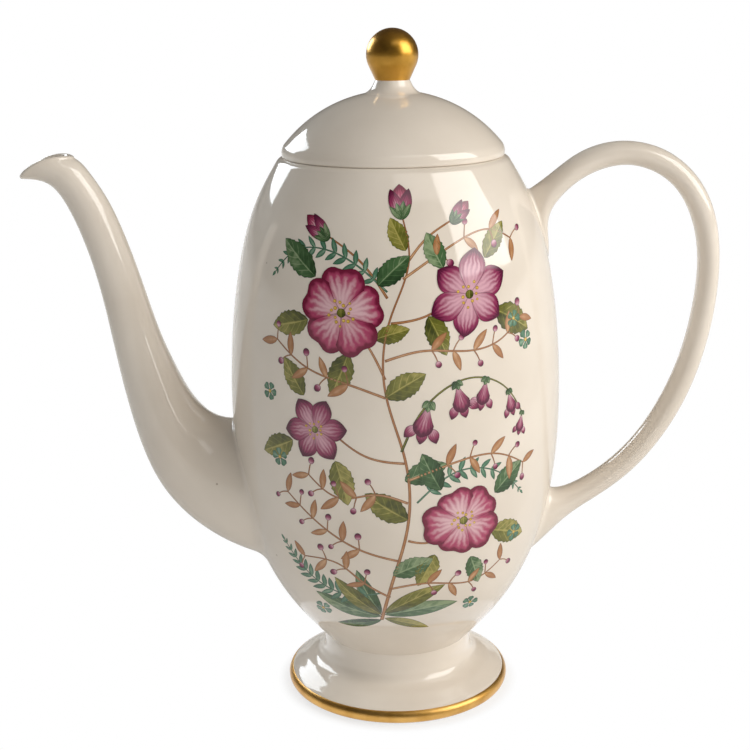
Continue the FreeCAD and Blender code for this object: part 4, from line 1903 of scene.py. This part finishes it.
        self.scatter(Ink.OLIVE, blade, [
            Spot(-6, -69, 142, 0.9, 1, 0.02), Spot(-5, -68, 40, 0.95, 1, 0.02),
            Spot(-5, -71, -18, 0.65, 1, 0.02),
        ])
        self.florets([(-47, 12, 0.7), (-43, -10, 0.75), (48, 28, 0.75), (42, 36, 0.65), (44, -40, 0.75),
                      (-28, -70, 0.75), (26, -67, 0.7)])

    def build(self, materials: dict[Ink, bpy.types.Material]) -> None:
        """Lays each ink's sheets on the body as one thin piece.

        Args:
            materials: the finish of each ink.
        """
        self.draw()
        line = profile_object("print_profile", [tuple(p) for p in self.body.side(600)])
        for ink, sheets in self.sheets.items():
            stack = bpy.data.collections.new(ink.value + "_sheets")
            bpy.context.scene.collection.children.link(stack)
            for sheet in sheets:
                bpy.context.scene.collection.objects.unlink(sheet)
                stack.objects.link(sheet)
            piece = new_object(ink.value, [(0.0, 0.0, 0.0)])
            self.trees.wrap.shape(piece, {
                "Sheets": stack, "Profile": line, "Start": self.body.belly_length() * MM,
                "Material": materials[ink],
            })
            for sheet in sheets:
                remove(sheet)
            bpy.data.collections.remove(stack)
            piece.data.set_sharp_from_angle(angle=math.radians(30))
            settle(piece, "pot")
        remove(line)


@dataclass(frozen=True)
class Pane:
    """Part of a window, given by the turns and rises in degrees between which the pot sees it."""

    name: str
    facing: float
    turns: Pair
    rises: Pair
    glow: float
    colour: Colour
    shine: bool = True
    distance: float = 1.1
    level: float = 0.18


WARM = (1.0, 0.98, 0.945)
COOL = (0.88, 0.94, 1.0)
PANES = (
    Pane("window_front", -48.0, (-43.5, -25.0), (9.5, 53.0), 4.2, WARM),
    Pane("window_right", -48.0, (-25.0, 4.0), (9.5, 53.0), 4.2, WARM),
    Pane("curtain_top", -67.0, (-90.0, -44.0), (46.0, 61.0), 1.0, WARM),
    Pane("curtain", -60.0, (-76.0, -44.0), (3.0, 26.0), 3.5, WARM, False),
    Pane("window_left", 180.0, (117.0, 147.5), (14.8, 41.0), 5.8, COOL, True, 0.42, 0.19),
    Pane("curtain_left", 130.0, (111.0, 160.0), (3.0, 30.0), 1.5, COOL, False),
    Pane("fill_front", -90.0, (-134.9, -45.1), (0.0, 49.0), 0.09, COOL, False, 1.7, 0.0),
    Pane("fill_right", 0.0, (-44.9, 44.9), (0.0, 49.0), 0.08, WARM, False, 1.7, 0.0),
    Pane("fill_back", 90.0, (45.1, 134.9), (0.0, 49.0), 0.12, COOL, False, 1.7, 0.0),
    Pane("fill_left", 180.0, (135.1, 224.9), (0.0, 49.0), 0.44, (0.83, 0.92, 1.0), False, 1.7, 0.0),
)
# The pane overhead hangs level, so it has no turns or rises.
CEILING = Pane("fill_top", 0.0, (0.0, 0.0), (0.0, 0.0), 0.05, COOL, False)


@dataclass(frozen=True)
class Studio:
    """White floor and cloth, soft windows in a dim room, and a camera at the photograph's place.

    Camera, room, cloth and floor are in millimetres; the overhead lamp and the shadow's edge in metres.
    """

    eye: tuple[float, float, float] = (-7.23, -503.8, 254.2)
    pitch: float = 15.14
    roll: float = -0.73
    lens: float = 69.65
    sky: float = 0.36
    room: Pair = (1750.0, 2050.0)
    room_low: float = -20.0
    cloth: tuple[Pair, Pair] = ((60.0, 0.25), (1700.0, 190.0))
    cloth_glow: float = 0.10
    ceiling: Pair = (3.4, 2.0)
    floor_radius: float = 30000.0
    shadow_edge: Pair = (0.040, 0.046)
    shadow_depth: float = 0.3
    steps: int = 96

    def camera(self) -> None:
        """Sets the camera."""
        data = bpy.data.cameras.new("camera")
        data.sensor_fit = "HORIZONTAL"
        data.sensor_width = 36.0
        data.lens = self.lens
        data.clip_start = 0.01
        obj = bpy.data.objects.new("camera", data)
        bpy.context.scene.collection.objects.link(obj)
        tip = Matrix.Rotation(math.radians(90 - self.pitch), 4, "X")
        obj.matrix_world = Matrix.Translation(Vector(self.eye) * MM) @ tip @ Matrix.Rotation(
            math.radians(self.roll), 4, "Z"
        )
        bpy.context.scene.camera = obj

    @staticmethod
    def _lamp(pane: Pane, size: Pair, place: Vector, aim: Vector) -> None:
        """Hangs one soft lamp.

        Args:
            pane: its name, colour and glow, which is the radiance it gives.
            size: its width and height in metres.
            place: its middle in metres.
            aim: the way it faces.
        """
        data = bpy.data.lights.new(pane.name, "AREA")
        data.shape = "RECTANGLE"
        data.size, data.size_y = size
        data.energy = pane.glow * math.pi * size[0] * size[1]
        data.color = pane.colour
        obj = bpy.data.objects.new(pane.name, data)
        bpy.context.scene.collection.objects.link(obj)
        obj.location = place
        obj.rotation_euler = aim.to_track_quat("-Z", "Y").to_euler()
        obj.visible_camera = False
        obj.visible_glossy = pane.shine

    def _window(self, pane: Pane) -> None:
        """Hangs one upright window that faces the pot.

        Args:
            pane: the window.
        """
        left, right = (math.tan(math.radians(turn - pane.facing)) * pane.distance for turn in pane.turns)
        low, high = (math.tan(math.radians(rise)) * pane.distance for rise in pane.rises)
        facing = math.radians(pane.facing)
        out = Vector((math.cos(facing), math.sin(facing), 0.0))
        side = Vector((-math.sin(facing), math.cos(facing), 0.0))
        middle = out * pane.distance + side * (left + right) / 2
        middle.z = pane.level + (low + high) / 2
        self._lamp(pane, (right - left, high - low), middle, -out)

    @staticmethod
    def _card(name: str, points: Any, faces: Any, pair: tuple[str, str], glow: float = 0.0) -> None:
        """Sets up matt cards, out of the camera's sight, that the glaze and the gold reflect.

        Args:
            name: the object's name.
            points: its corners in millimetres.
            faces: rows of point numbers.
            pair: the two screen colours that it is mottled with.
            glow: the light it gives of its own.
        """
        card = new_object(name, points, faces)
        material, graph = Finish.start(name)
        shade = graph.mix(graph.noise(1.5, 1.0), tone(pair[0]), tone(pair[1]))
        Finish.end(graph, graph.add("ShaderNodeBsdfPrincipled", None, {
            "Base Color": shade, "Roughness": 1.0, "Specular IOR Level": 0.0,
            "Emission Color": shade, "Emission Strength": glow}))
        card.data.materials.append(material)
        card.visible_camera = False

    def _circle(self, radius: float, height: float) -> list[tuple[float, float, float]]:
        """Gives the points of a level circle about the pot."""
        turns = np.linspace(0, 2 * math.pi, self.steps, endpoint=False)
        return [(radius * math.cos(a), radius * math.sin(a), height) for a in turns]

    def lights(self) -> None:
        """Hangs the windows in a dim room over a white cloth."""
        for pane in PANES:
            self._window(pane)
        span, above = self.ceiling
        self._lamp(CEILING, (span, span), Vector((0.0, 0.0, above)), Vector((0.0, 0.0, -1.0)))
        wide, high = self.room
        corners = [(-wide, -wide), (wide, -wide), (wide, wide), (-wide, wide)]
        points = [(x, y, z) for z in (self.room_low, high) for x, y in corners]
        walls = [(i, (i + 1) % 4, (i + 1) % 4 + 4, i + 4) for i in range(4)]
        self._card("dim_room", points, [*walls, (4, 5, 6, 7)], ("6b655e", "77716a"))
        count = self.steps
        rings = [point for ring in self.cloth for point in self._circle(*ring)]
        faces = [(i, (i + 1) % count, (i + 1) % count + count, i + count) for i in range(count)]
        self._card("cloth", rings, faces, ("e6e4e1", "efedea"), self.cloth_glow)

    @staticmethod
    def _seen(graph: Graph) -> Value:
        """Gives 1 for rays that show the background: straight, mirrored or through glass.

        Args:
            graph: the graph of a material or of the world.

        Returns:
            1 for such rays and 0 for others.
        """
        path = graph.add("ShaderNodeLightPath", None, None, "Is Camera Ray")
        first = graph.sum("MAXIMUM", path, path["Is Glossy Ray"])
        return graph.sum("MAXIMUM", first, path["Is Transmission Ray"])

    def world(self) -> None:
        """Sets a white room that lights less than it shows."""
        world = bpy.data.worlds.new("room")
        bpy.context.scene.world = world
        world.use_nodes = True
        world.node_tree.nodes.clear()
        graph = Graph(world.node_tree)
        seen = self._seen(graph)
        sky = graph.add("ShaderNodeBackground", None, {"Color": solid((1.0, 1.0, 1.0)),
                                                       "Strength": seen * (1 - self.sky) + self.sky})
        out = world.node_tree.nodes.new("ShaderNodeOutputWorld")
        world.node_tree.links.new(sky.socket, out.inputs["Surface"])

    def floor(self) -> None:
        """Lays a wide white floor that keeps the pot's shadow and fades to plain white."""
        obj = new_object("floor", self._circle(self.floor_radius, 0.0), [tuple(range(self.steps))])
        material, graph = Finish.start("white_floor")
        far = graph.add("ShaderNodeVectorMath", {"operation": "LENGTH"}, {0: graph.where()}, "Value")
        cloth = graph.mix(graph.noise(60.0, 3.0), tone("f4f3f1"), tone("f8f7f6"))
        matt = graph.add("ShaderNodeBsdfDiffuse", None, {"Color": cloth})
        white = graph.add("ShaderNodeEmission", None, {"Color": solid((1.0, 1.0, 1.0)), "Strength": 1.0})
        clear = graph.smooth(*self.shadow_edge, far) * self.shadow_depth + (1 - self.shadow_depth)
        share = self._seen(graph) * clear
        Finish.end(graph, graph.add("ShaderNodeMixShader", None, {0: share, 1: matt, 2: white}))
        obj.data.materials.append(material)

    def build(self) -> None:
        """Sets up the whole studio."""
        self.camera()
        self.lights()
        self.world()
        self.floor()
        bpy.context.scene.view_settings.view_transform = "Standard"


def main() -> None:
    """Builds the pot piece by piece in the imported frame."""
    logging.basicConfig(level=logging.INFO, format="%(name)s %(message)s")
    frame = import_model()
    LOG.info("solids in the frame: %s", ", ".join(sorted(frame["nodes"])))
    trees = Trees()
    glaze = Glaze()
    plain = glaze.material("ivory_glaze")
    ringed = glaze.material("ivory_glaze_turned", True)
    smooth = Glaze(wave=0.007).material("ivory_glaze_smooth")
    gold = GoldLustre().material("gold_lustre")
    pale_gold = GoldLustre(tone("e4b362"), tone("c99644"), gloss=0.40).material("gold_lustre_pale")
    body = PotBody()
    body.build(trees, ringed)
    PedestalFoot().build(trees, smooth, pale_gold)
    Spout().build(body, plain)
    LoopHandle().build(body, plain)
    Lid().build(trees, plain, gold)
    FlowerPrint(trees, body).build({ink: enamel.material(ink.value) for ink, enamel in inks().items()})
    Studio().build()


if __name__ == "__main__":
    main()
